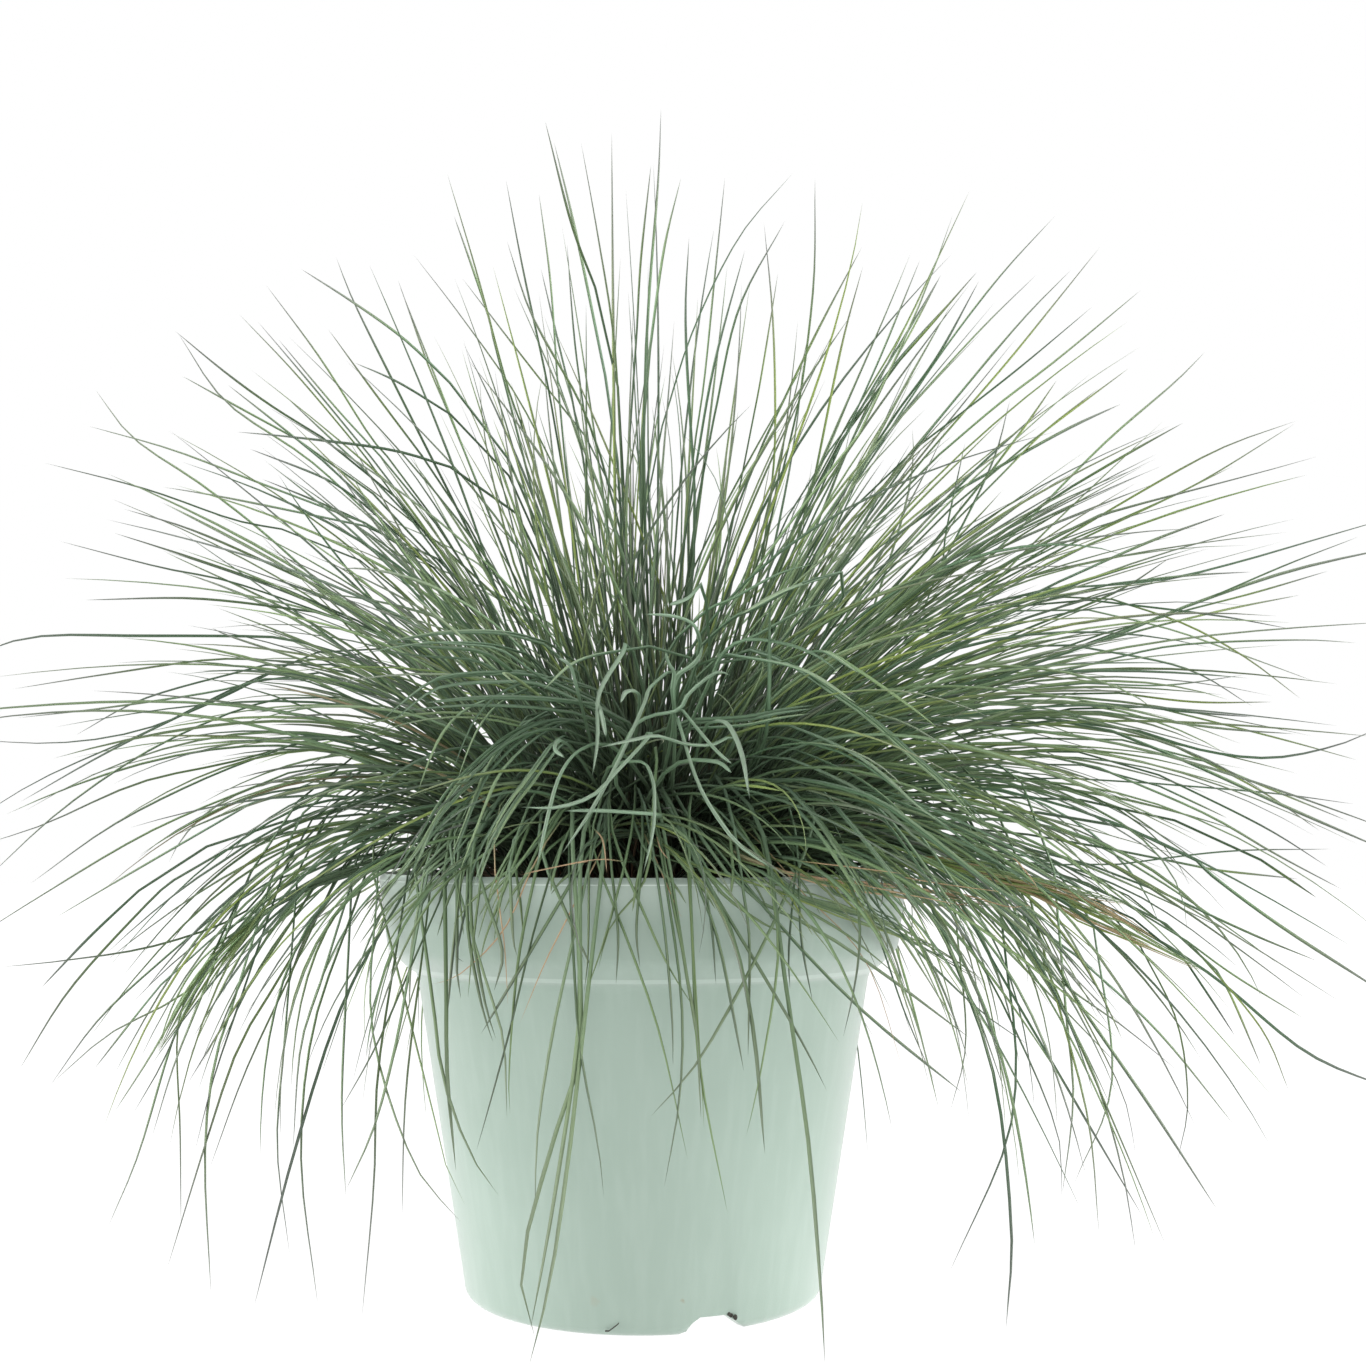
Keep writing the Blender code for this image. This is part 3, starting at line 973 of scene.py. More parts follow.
# %% [markdown]
# ## Blades that are seen one by one
#
# In the photograph the middle of the clump is a thicket, but its outline, the blades that hang
# over the pot and the pale curls in front are seen singly. Those are drawn one by one: each is a
# short route of pixels, given from the root's side to the tip or back, and set in space by the
# camera. A curve joins the route to a root in the crown, first rising and then falling into the
# route, so from the side too the blade grows out of its tuft and arches over the rim.

# %% Smooth curves
ROUTE_SAMPLES = 8


def smooth_through(places):
    """A smooth curve through the places: eight points between each two of them."""
    places = np.array(places)
    padded = np.vstack([2 * places[0] - places[1], places, 2 * places[-1] - places[-2]])
    curve = []
    for before, start, end, after in zip(padded, padded[1:], padded[2:], padded[3:]):
        for t in np.arange(ROUTE_SAMPLES) / ROUTE_SAMPLES:
            curve.append(0.5 * (2 * start + (end - before) * t
                                + (2 * before - 5 * start + 4 * end - after) * t ** 2
                                + (3 * start - before - 3 * end + after) * t ** 3))
    return np.vstack([curve, places[-1]])


def even_steps(curve, steps):
    """The same curve in steps of one length."""
    travelled = np.concatenate([[0], np.cumsum(np.linalg.norm(np.diff(curve, axis=0), axis=1))])
    marks = np.linspace(0, travelled[-1], steps + 1)
    return np.stack([np.interp(marks, travelled, curve[:, axis]) for axis in range(3)], axis=1)


print(f"a curve has {ROUTE_SAMPLES} samples between two places")

# %% [markdown]
# The arch that joins a route to the crown is a cubic curve. Its two ends have their own
# directions, up out of the soil and onwards along the route, and their own strengths.

# %% From a route to a path
ARCH_SAMPLES = 15
ROOT_TURN = 0.24


def rooted(places, root_radius, first_lean, rise, fall=1.0, arch_steps=6):
    """Path of a blade whose route, from its inner end to its tip, starts away from the crown.

    The arch between leaves the root with strength rise, and enters the route with strength fall.
    The route is what the picture shows, so it gets most of the steps.
    """
    inner = places[0]
    onwards = unit(places[1] - inner)
    azimuth = math.atan2(inner[1], inner[0]) + rng.normal(0, ROOT_TURN)
    root = np.array([root_radius * math.cos(azimuth), root_radius * math.sin(azimuth),
                     SOIL_LEVEL - 1.5 * MM])
    span = np.linalg.norm(inner - root)
    lean = math.radians(first_lean)
    upwards = np.array([math.cos(azimuth) * math.sin(lean), math.sin(azimuth) * math.sin(lean),
                        math.cos(lean)])
    arch = []
    for t in np.linspace(0, 1, ARCH_SAMPLES):
        arch.append((2 * t ** 3 - 3 * t ** 2 + 1) * root + (t ** 3 - 2 * t ** 2 + t) * rise * span * upwards
                    + (3 * t ** 2 - 2 * t ** 3) * inner + (t ** 3 - t ** 2) * fall * span * onwards)
    route = even_steps(smooth_through(places), STEPS - arch_steps)
    return np.vstack([even_steps(np.array(arch), arch_steps)[:-1], route])


def clear_path(route, *ways):
    """The first throw that is clear of the pot, by the first way that gives one."""
    for way in ways:
        for _ in range(THROWS):
            path = way(route)
            if clear_of_pot(path[None])[0]:
                return path
    return path


def side_by_side(route, blades, half_width):
    """Copies of a route next to each other, which meet at its ends, and how far out each is."""
    route = np.array(route, float)
    ahead = unit(route[-1] - route[0])
    across = np.array([-ahead[1], ahead[0]])
    bulge = 0.12 + 0.88 * np.sin(math.pi * np.linspace(0, 1, len(route)))[:, None]
    copies = []
    for offset in np.linspace(-1, 1, blades):
        moved = across * offset * half_width + rng.normal(0, 2.0, (len(route), 2))
        copies.append((route + bulge * moved, abs(offset)))
    return copies


def nearest_tuft(path):
    """Name of the tuft whose foot is nearest to a path's root."""
    return min(feet, key=lambda name: np.hypot(*(feet[name] - path[0])[:2]))


feet = {name: foot_of(name) for name in tuft_names}


def add_traced(path, width, tone, dry=0.0, fade=0.1, taper=0.70):
    """Puts one traced blade in the bunch of its nearest tuft, and notes it if it isn't clear."""
    if not clear_of_pot(path[None])[0]:
        too_near.append(path)
    bunches[nearest_tuft(path)].add(
        [path], [width], [tone], [dry], [fade], [taper], [rng.uniform(-1.0, 1.0)])


too_near = []
print("routes become paths of", STEPS, "steps")

# %% [markdown]
# The blades that hang over the rim lie on the pot's near side, so a pixel of theirs is met with
# an upright cylinder round the pot. It is a little wider than the rim, and widens downwards,
# because a hanging blade still swings outwards below the rim. At the rim's right end, sprays of
# blades that lie nearly flat are copied side by side from one route each. A short fringe of
# random blades fills in between the traced ones, and is thickest over the rim's left end.

# %% Blades that hang over the pot
HANG_CLEARANCE = 2.2 * MM
HANG_SWING = 0.13
RIM_PIXEL = 872
STRAW = 1.0
STRAW_TONE = 0.9
STRAW_WIDTH = 0.35 * MM
SPRAY_WIDTHS = (0.45, 0.75)
ABOVE_LOWEST = 0.5 * MM

HANGING_BLUE = (
    ((485, 976), (503, 1036), (506, 1082), (507, 1119)),
    ((549, 878), (531, 941), (508, 1036), (484, 1124), (476, 1152)),
    ((571, 950), (553, 1033), (538, 1130), (535, 1211)),
    ((569, 870), (573, 953), (580, 1049), (598, 1145), (604, 1199)),
    ((551, 878), (573, 928), (593, 971)),
    ((510, 870), (513, 936), (517, 956)),
    ((471, 870), (472, 928), (485, 1003), (496, 1039)),
    ((468, 870), (468, 930), (481, 1003), (493, 1042)),
    ((470, 887), (457, 953), (464, 962)),
    ((457, 953), (457, 973), (461, 999)),
    ((433, 1003), (443, 1077), (469, 1151), (499, 1196)),
    ((657, 878), (665, 936), (672, 1019), (673, 1067)),
    ((665, 880), (681, 994), (680, 1094), (664, 1188)),
    ((672, 880), (688, 983), (697, 1036), (701, 1119)),
    ((723, 908), (773, 991), (806, 1049), (827, 1091)),
    ((743, 887), (750, 945), (748, 1057)),
    ((789, 888), (756, 958), (698, 1061), (650, 1117)),
    ((799, 870), (801, 936), (813, 1004)),
    ((743, 893), (814, 928), (880, 971), (971, 1039)),
    ((795, 880), (789, 950), (790, 990)),
    ((703, 876), (712, 930), (716, 985)),
    ((612, 876), (618, 935), (616, 985)),
    ((640, 878), (636, 930), (640, 968)),
    ((420, 900), (412, 950), (409, 1010)),
    ((858, 890), (884, 930), (906, 990)),
)
HANGING_THICK = (
    ((569, 887), (540, 936), (510, 986), (481, 1034)),
    ((580, 870), (580, 953), (579, 1057), (550, 1151), (521, 1268), (535, 1338)),
    ((574, 870), (580, 970), (576, 1057), (550, 1226), (530, 1331)),
    ((580, 1057), (568, 1160), (550, 1280), (529, 1366)),
    ((460, 887), (451, 970), (448, 1011)),
    ((446, 994), (447, 1077), (456, 1172)),
    ((696, 880), (718, 940), (736, 1028), (744, 1072)),
    ((706, 880), (733, 936), (754, 1033), (765, 1155)),
    ((746, 885), (803, 951), (872, 1019), (963, 1093)),
    ((771, 870), (786, 986), (809, 1145), (822, 1304), (825, 1365)),
    ((488, 903), (503, 953), (494, 991)),
)
HANGING_GREEN = (
    ((536, 870), (518, 960), (509, 1069), (510, 1115)),
    ((621, 878), (604, 940), (586, 993)),
    ((604, 880), (637, 965), (662, 1042), (688, 1161)),
    ((589, 870), (588, 953), (584, 993)),
    ((508, 880), (486, 936), (481, 960)),
    ((476, 920), (472, 953), (468, 998)),
    ((430, 1100), (448, 1172), (465, 1205)),
    ((640, 903), (667, 963), (696, 1011)),
    ((690, 880), (693, 951), (700, 1069), (728, 1215)),
    ((673, 903), (683, 953), (695, 1011)),
    ((768, 870), (778, 953), (761, 1069), (746, 1137)),
    ((796, 903), (847, 935), (900, 978)),
    ((726, 897), (766, 925), (796, 936)),
    ((839, 893), (869, 923), (891, 949)),
    ((654, 800), (646, 878), (611, 926), (598, 970)),
    ((695, 880), (706, 893), (716, 910)),
    ((794, 903), (804, 920), (813, 936)),
    ((701, 1071), (703, 1102), (704, 1130)),
)
HANGING_STRAW = (
    ((564, 925), (544, 965), (520, 1023)),
    ((530, 873), (503, 931), (460, 974), (433, 984)),
    ((501, 918), (505, 950), (508, 1006)),
    ((670, 892), (676, 906), (682, 918)),
    ((803, 893), (866, 961), (903, 1070)),
)


def hanging_path(route, arch_steps=9):
    """Path over the rim: back up to the rim, an arch behind it, and down the route."""
    first, second = np.array(route[0], float), np.array(route[1], float)
    if first[1] > RIM_PIXEL:
        slope = (second[0] - first[0]) / max(second[1] - first[1], 1.0)
        at_rim = first[0] - min(max(slope, -0.8), 0.8) * (first[1] - RIM_PIXEL)
        kept = route if first[1] > RIM_PIXEL + 12 else route[1:]
        route = ((at_rim, RIM_PIXEL), *kept)
    places = []
    for pixel in route:
        below = max(pixel[1] - RIM_PIXEL, 0) * CAMERA_DISTANCE / FOCAL_PX
        place = seen_round_pot(pixel, RIM_RADIUS + HANG_CLEARANCE + HANG_SWING * below)
        if place[2] < LOWEST + ABOVE_LOWEST:
            depth = (CAMERA_HEIGHT - LOWEST - ABOVE_LOWEST) * FOCAL_PX / (pixel[1] - HORIZON_PX)
            place = seen_at(pixel, depth)
        places.append(place)
    return rooted(np.array(places), root_radius=rng.uniform(10, 34) * MM, first_lean=rng.uniform(4, 24),
                  rise=rng.uniform(1.2, 3.2), fall=rng.uniform(1.1, 1.9), arch_steps=arch_steps)


def hang(route):
    return clear_path(route, hanging_path)


HANGING_GROUPS = (
    # routes, width, lowest and highest tone, how much the tip fades, where the point starts
    (HANGING_BLUE, 0.74 * MM, (0.0, 0.5), 0.5, 0.80),
    (HANGING_THICK, 0.92 * MM, (0.1, 0.6), 0.5, 0.86),
    (HANGING_GREEN, 0.68 * MM, (0.6, 1.0), 0.1, 0.70),
)
for routes, width, tones, fade, taper in HANGING_GROUPS:
    for route in routes:
        add_traced(hang(route), width, rng.uniform(*tones), fade=fade, taper=taper)
for route in HANGING_STRAW:
    add_traced(hang(route), STRAW_WIDTH, STRAW_TONE, STRAW)

RIM_SPRAYS = (
    # a route from the tip inwards, blades, half its width in pixels, lowest tone, dry share
    (((990, 986), (948, 958), (905, 936), (872, 920), (845, 910), (814, 901), (786, 890)), 4, 4, 0.0, 0.0),
    (((960, 972), (920, 944), (891, 922), (872, 911), (853, 899), (832, 892)), 3, 4, 0.1, 0.0),
    (((920, 946), (891, 932), (845, 911), (803, 897), (757, 884), (721, 879)), 3, 4, 0.8, 0.5),
    (((1010, 908), (974, 902), (949, 898), (893, 889), (834, 882), (790, 879)), 9, 8, 0.6, 0.5),
)
for route, blades, half_width, lowest_tone, dry_share in RIM_SPRAYS:
    for copy, edge in side_by_side(route, blades, half_width):
        dry = STRAW if rng.random() < dry_share * edge else 0.0
        add_traced(hang(copy[::-1]), rng.uniform(*SPRAY_WIDTHS) * MM, rng.uniform(lowest_tone, 1.0), dry)

POT_MIDDLE_PIXEL = 645
FRINGE_FAN = 400
FRINGE_WIDTHS = (0.56, 0.80)
FRINGE = (
    # blades, where along the rim it starts and ends, shortest and longest drop, all in pixels
    (26, 395, 530, 20, 75),
    (4, 530, 700, 15, 50),
    (5, 700, 880, 15, 60),
)
for blades, left, right, shortest, longest in FRINGE:
    for start in rng.uniform(left, right, blades):
        drop = rng.uniform(shortest, longest)
        slope = (start - POT_MIDDLE_PIXEL) / FRINGE_FAN + rng.normal(0, 0.35)
        middle = (start + slope * drop * 0.6, RIM_PIXEL + drop * 0.5)
        end = (start + slope * drop, RIM_PIXEL + drop)
        path = hang(((start, RIM_PIXEL), middle, end))
        add_traced(path, rng.uniform(*FRINGE_WIDTHS) * MM, rng.random())
print(f"{len(too_near)} hanging blades are less than {POT_GAP / MM:.1f} mm off the pot")

# %% [markdown]
# The blades of the outline end in the open. Their tips are put at a random distance up to five
# centimetres before or behind the middle of the plant, because a clump is round, and the inner
# end of the route a third of that. A blade that would run into the pot is thrown again, and if
# that doesn't help, it goes round the rim as the hanging blades do.

# %% Blades of the outline
TOP_BLADES = (
    ((545, 121), (571, 223), (595, 287)),
    ((554, 142), (576, 234), (605, 376)),
    ((581, 142), (598, 237), (614, 341), (621, 459)),
    ((661, 108), (658, 180), (650, 280), (646, 348)),
    ((651, 165), (641, 259), (637, 330)),
    ((681, 178), (664, 251), (650, 351)),
    ((725, 177), (716, 266), (705, 376), (696, 437)),
    ((793, 173), (739, 237), (693, 330), (662, 426)),
    ((815, 178), (814, 280), (802, 384), (791, 437)),
    ((862, 247), (818, 330), (764, 441)),
    ((863, 266), (841, 348), (814, 480)),
    ((764, 223), (773, 323), (775, 437), (770, 501)),
    ((785, 221), (739, 309), (714, 419)),
    ((778, 273), (761, 376), (752, 423)),
    ((689, 237), (686, 330), (695, 491)),
    ((745, 250), (714, 366), (695, 473)),
    ((447, 173), (477, 273), (507, 384), (521, 423)),
    ((454, 216), (486, 309), (493, 337)),
    ((413, 254), (461, 316), (518, 398), (571, 501)),
    ((400, 287), (446, 405), (477, 484)),
    ((506, 180), (523, 269), (546, 376), (554, 419)),
    ((539, 194), (550, 280), (557, 376)),
    ((507, 241), (532, 316), (579, 401), (600, 455)),
    ((541, 269), (561, 355), (571, 394)),
    ((567, 244), (575, 344), (589, 444)),
    ((920, 260), (886, 344), (864, 394)),
    ((970, 190), (936, 262), (900, 336), (850, 419)),
    ((941, 275), (900, 344), (875, 384)),
    ((960, 291), (896, 362), (829, 451)),
    ((462, 278), (521, 355), (586, 437)),
)
UPPER_LEFT_BLADES = (
    ((175, 331), (225, 372), (272, 406), (322, 437)),
    ((182, 376), (236, 406), (295, 438)),
    ((239, 314), (297, 375), (357, 446), (376, 471)),
    ((258, 322), (313, 387), (370, 456)),
    ((266, 285), (320, 358), (368, 433), (387, 456)),
    ((278, 339), (334, 406), (380, 456)),
    ((301, 269), (355, 304), (406, 341), (450, 383)),
    ((336, 257), (355, 305), (401, 398), (441, 477)),
    ((398, 280), (427, 362), (448, 412)),
    ((328, 329), (370, 387), (422, 456)),
    ((355, 363), (399, 383), (450, 414)),
    ((237, 432), (299, 438), (391, 450), (450, 467)),
    ((228, 385), (284, 429), (322, 460)),
    ((285, 396), (341, 448), (360, 465)),
)
LEFT_BLADES = (
    ((95, 389), (133, 438), (199, 483), (259, 529), (312, 576)),
    ((88, 426), (172, 450), (259, 483), (365, 523)),
    ((45, 463), (146, 489), (232, 519), (282, 529)),
    ((59, 541), (159, 567), (232, 582), (332, 616)),
    ((114, 533), (186, 556), (285, 589)),
    ((85, 600), (199, 599), (315, 612)),
    ((-40, 660), (33, 637), (139, 636), (265, 637), (299, 642)),
    ((13, 689), (106, 674), (216, 659), (299, 662)),
    ((17, 718), (106, 708), (212, 692), (265, 679)),
    ((-50, 738), (50, 743), (133, 732), (206, 705), (292, 662)),
    ((76, 735), (146, 698), (265, 665)),
    ((-30, 822), (43, 778), (146, 732), (232, 689), (318, 652)),
    ((20, 802), (116, 748), (252, 682)),
    ((-20, 845), (43, 825), (139, 783), (232, 762), (318, 738)),
    ((-15, 880), (60, 811), (146, 752), (232, 712), (282, 698)),
    ((30, 884), (113, 825), (206, 778), (299, 742)),
    ((-25, 938), (31, 902), (153, 830), (288, 773)),
    ((55, 918), (128, 875), (250, 804)),
    ((124, 509), (199, 533), (318, 586)),
    ((163, 487), (232, 499), (365, 526)),
    ((178, 333), (226, 402), (309, 460), (381, 526)),
    ((250, 449), (325, 479), (362, 503)),
    ((262, 479), (332, 508), (365, 523)),
)
LOWER_LEFT_BLADES = (
    ((0, 967), (62, 961), (155, 946), (242, 914)),
    ((19, 1070), (71, 988), (149, 902), (174, 880)),
    ((41, 988), (90, 937), (139, 891)),
    ((49, 1087), (99, 1019), (161, 961), (217, 914)),
    ((50, 1085), (108, 1035), (167, 1004), (198, 979)),
    ((115, 1111), (152, 1054), (192, 985), (229, 930)),
    ((108, 1227), (139, 1153), (177, 1029), (217, 957)),
    ((181, 1227), (180, 1134), (178, 1023), (205, 967)),
    ((167, 1269), (208, 1137), (239, 1047), (279, 979)),
    ((211, 1294), (205, 1159), (214, 1066), (236, 995)),
    ((195, 1151), (214, 1078), (239, 1004)),
    ((209, 1170), (245, 1072), (291, 973)),
    ((290, 1257), (277, 1147), (284, 1047), (290, 970)),
    ((318, 1306), (301, 1159), (313, 1029), (353, 911)),
    ((293, 1150), (301, 1047), (322, 979)),
    ((346, 1199), (342, 1097), (349, 942)),
    ((346, 1190), (375, 1125), (397, 1041), (406, 992)),
    ((341, 1109), (377, 1044), (415, 957)),
    ((362, 1317), (374, 1184), (378, 1072), (400, 926)),
    ((402, 1219), (406, 1091), (423, 948)),
    ((462, 1223), (412, 1159), (372, 1026), (377, 899)),
    ((188, 1083), (223, 1026), (260, 970)),
    ((95, 1068), (136, 1016), (161, 985)),
    ((133, 1114), (161, 1066), (174, 1038)),
    ((152, 1137), (174, 1066), (201, 998)),
)
UPPER_RIGHT_BLADES = (
    ((1055, 216), (1001, 275), (947, 345), (900, 414)),
    ((1036, 275), (980, 330), (900, 417)),
    ((1100, 247), (1052, 307), (1004, 366), (924, 458)),
    ((1071, 270), (1019, 324), (936, 423), (912, 455)),
    ((1141, 290), (1057, 360), (998, 405), (939, 455)),
    ((1092, 307), (1010, 375), (918, 446)),
    ((979, 281), (939, 354), (900, 408)),
    ((977, 272), (924, 333), (900, 360)),
    ((1205, 352), (1173, 384), (1105, 443), (1023, 526)),
    ((1129, 368), (1075, 408), (1025, 446)),
    ((1183, 423), (1126, 455), (1073, 486)),
    ((1057, 380), (1025, 426), (992, 470)),
    ((941, 275), (912, 330), (900, 351)),
    ((1099, 388), (1046, 430), (1000, 476)),
    ((1049, 403), (983, 463), (940, 506)),
    ((1010, 400), (991, 466), (940, 569)),
    ((965, 443), (947, 526), (943, 559)),
)
RIGHT_BLADES = (
    ((1400, 515), (1325, 537), (1232, 564), (1155, 581), (1049, 589)),
    ((1358, 537), (1288, 564), (1218, 594), (1185, 607)),
    ((1328, 571), (1258, 592), (1192, 609)),
    ((1300, 595), (1228, 609), (1152, 627)),
    ((1357, 643), (1298, 640), (1179, 645), (1099, 662)),
    ((1291, 629), (1212, 615), (1089, 600)),
    ((1316, 682), (1245, 656), (1172, 630), (1089, 610)),
    ((1301, 699), (1245, 657), (1185, 624), (1112, 599)),
    ((1252, 706), (1185, 668), (1073, 645)),
    ((1296, 421), (1222, 448), (1146, 489), (1033, 556)),
    ((1296, 423), (1202, 481), (1139, 511), (1056, 546)),
    ((1233, 466), (1172, 496), (1066, 546)),
    ((1225, 514), (1152, 541), (1059, 582)),
    ((1171, 557), (1116, 592), (1026, 629)),
    ((1251, 572), (1185, 576), (1112, 584)),
    ((1354, 804), (1272, 793), (1152, 783)),
    ((1385, 725), (1338, 745), (1272, 758), (1205, 751), (1139, 731)),
    ((1357, 760), (1278, 738), (1159, 708)),
    ((1295, 734), (1215, 728), (1099, 712)),
    ((1272, 702), (1195, 702), (1119, 693)),
    ((1253, 717), (1185, 712), (1146, 707)),
    ((1244, 675), (1165, 685), (1086, 683)),
    ((1345, 891), (1275, 854), (1205, 814), (1099, 768)),
    ((1328, 867), (1262, 826), (1159, 775)),
    ((1320, 831), (1258, 789), (1159, 738)),
    ((1348, 821), (1275, 791), (1205, 761)),
    ((1331, 849), (1228, 851), (1119, 864)),
    ((1298, 879), (1222, 871), (1185, 864)),
    ((1227, 818), (1159, 786)),
)
LOWER_RIGHT_BLADES = (
    ((1303, 1018), (1235, 976), (1187, 941)),
    ((1317, 961), (1251, 934), (1161, 892)),
    ((1317, 898), (1261, 860)),
    ((1289, 1091), (1261, 1028), (1196, 950)),
    ((1234, 1125), (1157, 1031), (1074, 954)),
    ((1177, 1163), (1188, 1102), (1177, 1021), (1141, 947)),
    ((1136, 1253), (1122, 1170), (1093, 1073), (1041, 966)),
    ((1166, 1246), (1116, 1128), (1067, 1015)),
    ((1136, 1157), (1122, 1092), (1070, 989)),
    ((1099, 1234), (1088, 1118), (1054, 989)),
    ((1061, 1202), (1056, 1128), (1003, 1005), (961, 931)),
    ((1062, 1196), (1073, 1099), (1066, 1015)),
    ((949, 1273), (1006, 1144), (1016, 1054), (1007, 970)),
    ((1007, 1098), (980, 1021), (967, 989)),
    ((1032, 1047), (977, 1008), (899, 931)),
    ((950, 1112), (966, 1041), (957, 931)),
    ((935, 1083), (906, 1015), (886, 957)),
    ((1074, 1184), (1112, 1079), (1093, 924)),
    ((1178, 1071), (1125, 1028), (1048, 970)),
    ((1235, 1036), (1187, 963)),
    ((1261, 1066), (1232, 999), (1216, 970)),
)
THICK_BLADES = (
    ((1121, 404), (1060, 433), (960, 489)),
    ((1405, 545), (1291, 571), (1185, 607), (1119, 634), (1039, 662)),
    ((1390, 852), (1288, 808), (1185, 761), (1112, 731)),
    ((1395, 1000), (1287, 931), (1216, 879), (1196, 860)),
    ((1400, 1092), (1309, 1054), (1222, 983), (1170, 947)),
    ((1218, 1211), (1151, 1108), (1080, 1005), (1061, 973)),
    ((1143, 1217), (1070, 1092), (1006, 983), (951, 886)),
    ((1006, 1329), (1011, 1225), (991, 1063), (932, 908)),
    ((254, 1307), (294, 1153), (341, 1007), (400, 899)),
)
DEPTH_SPREAD = 50.0 * MM
CROWN_EDGE = 38.0 * MM
OUTLINE_WIDTHS = (0.58, 0.80)
THICK_WIDTH = 0.98 * MM


def outline_path(route):
    """Path of a blade of the outline; its route is given from the tip inwards."""
    tip_depth = CAMERA_DISTANCE + rng.uniform(-DEPTH_SPREAD, DEPTH_SPREAD)
    above = HORIZON_PX - route[0][1]
    room = (TALLEST if above > 0 else LOWEST) - CAMERA_HEIGHT
    tip_depth = min(tip_depth, room * FOCAL_PX / above - MM)
    inner_depth = CAMERA_DISTANCE + (tip_depth - CAMERA_DISTANCE) / 3
    depths = np.linspace(inner_depth, tip_depth, len(route))
    places = np.array([seen_at(pixel, depth) for pixel, depth in zip(route[::-1], depths)])
    inner = places[0] - (0, 0, SOIL_LEVEL)
    lean = math.degrees(math.atan2(math.hypot(inner[0], inner[1]), inner[2]))
    outwards = min(max(lean / 100, 0.1), 1.0)
    return rooted(places, root_radius=CROWN_EDGE * outwards * rng.uniform(0.6, 1.0),
                  first_lean=6 + 24 * outwards, rise=1.1)


def round_rim_path(route):
    """Path round the rim for a route that is given from the tip inwards."""
    return hanging_path(route[::-1], 6)


OUTLINES = (TOP_BLADES, UPPER_LEFT_BLADES, LEFT_BLADES, LOWER_LEFT_BLADES, UPPER_RIGHT_BLADES,
            RIGHT_BLADES, LOWER_RIGHT_BLADES)
for route in [route for group in OUTLINES for route in group]:
    width = rng.uniform(*OUTLINE_WIDTHS) * MM
    path = clear_path(route, outline_path, round_rim_path)
    add_traced(path, width, rng.random(), fade=rng.uniform(0.5, 1.0))
for route in THICK_BLADES:
    add_traced(clear_path(route, outline_path, round_rim_path), THICK_WIDTH, 0.2, fade=0.8, taper=0.80)
print(f"{sum(len(group) for group in OUTLINES) + len(THICK_BLADES)} blades of the outline")

# %% [markdown]
# In the middle of the front, the youngest blades come towards the camera and curl. They are the
# palest of all, because their bloom is thick, and their outer parts get painted light and are
# spared the painted shade and the darker blade tones.

# %% Pale curls in front
CURLS = (
    ((668, 605), (687, 599), (701, 584)),
    ((643, 614), (667, 615), (686, 620), (696, 629), (700, 642)),
    ((592, 777), (597, 740), (597, 703), (604, 682), (622, 654), (625, 644)),
    ((606, 737), (602, 713), (597, 703)),
    ((558, 658), (570, 665), (575, 682), (579, 698)),
    ((620, 703), (625, 693), (635, 691), (639, 695)),
    ((565, 758), (556, 751), (555, 744), (560, 740)),
    ((520, 807), (559, 807), (594, 795), (617, 772), (648, 739), (650, 733)),
    ((564, 811), (602, 811), (650, 814), (658, 815)),
    ((561, 855), (592, 810), (620, 759), (645, 703), (650, 688), (668, 672)),
    ((731, 676), (722, 672), (712, 675), (690, 693), (682, 707), (673, 712), (658, 714), (640, 721),
     (632, 731)),
    ((732, 764), (712, 746), (682, 710)),
    ((775, 870), (737, 843), (709, 805), (694, 774), (683, 738), (677, 718)),
    ((750, 800), (742, 754), (729, 726), (717, 721), (709, 723)),
    ((597, 748), (635, 740), (658, 736), (686, 744), (712, 745), (727, 738)),
    ((732, 773), (719, 763), (696, 760)),
    ((643, 874), (653, 828), (654, 790), (650, 772), (643, 762), (625, 762)),
    ((666, 652), (668, 663), (674, 673), (672, 690), (674, 707)),
    ((703, 644), (699, 657), (690, 667), (678, 675), (673, 690), (674, 707)),
    ((536, 871), (548, 815), (559, 777), (574, 754), (592, 744)),
)
ARCHES = (
    ((543, 690), (582, 659), (649, 646)),
    ((840, 674), (825, 661), (802, 649), (770, 641), (741, 641), (722, 655), (714, 672)),
    ((860, 674), (825, 652), (807, 653)),
    ((860, 706), (800, 669), (727, 654)),
    ((738, 616), (784, 591), (841, 572)),
)
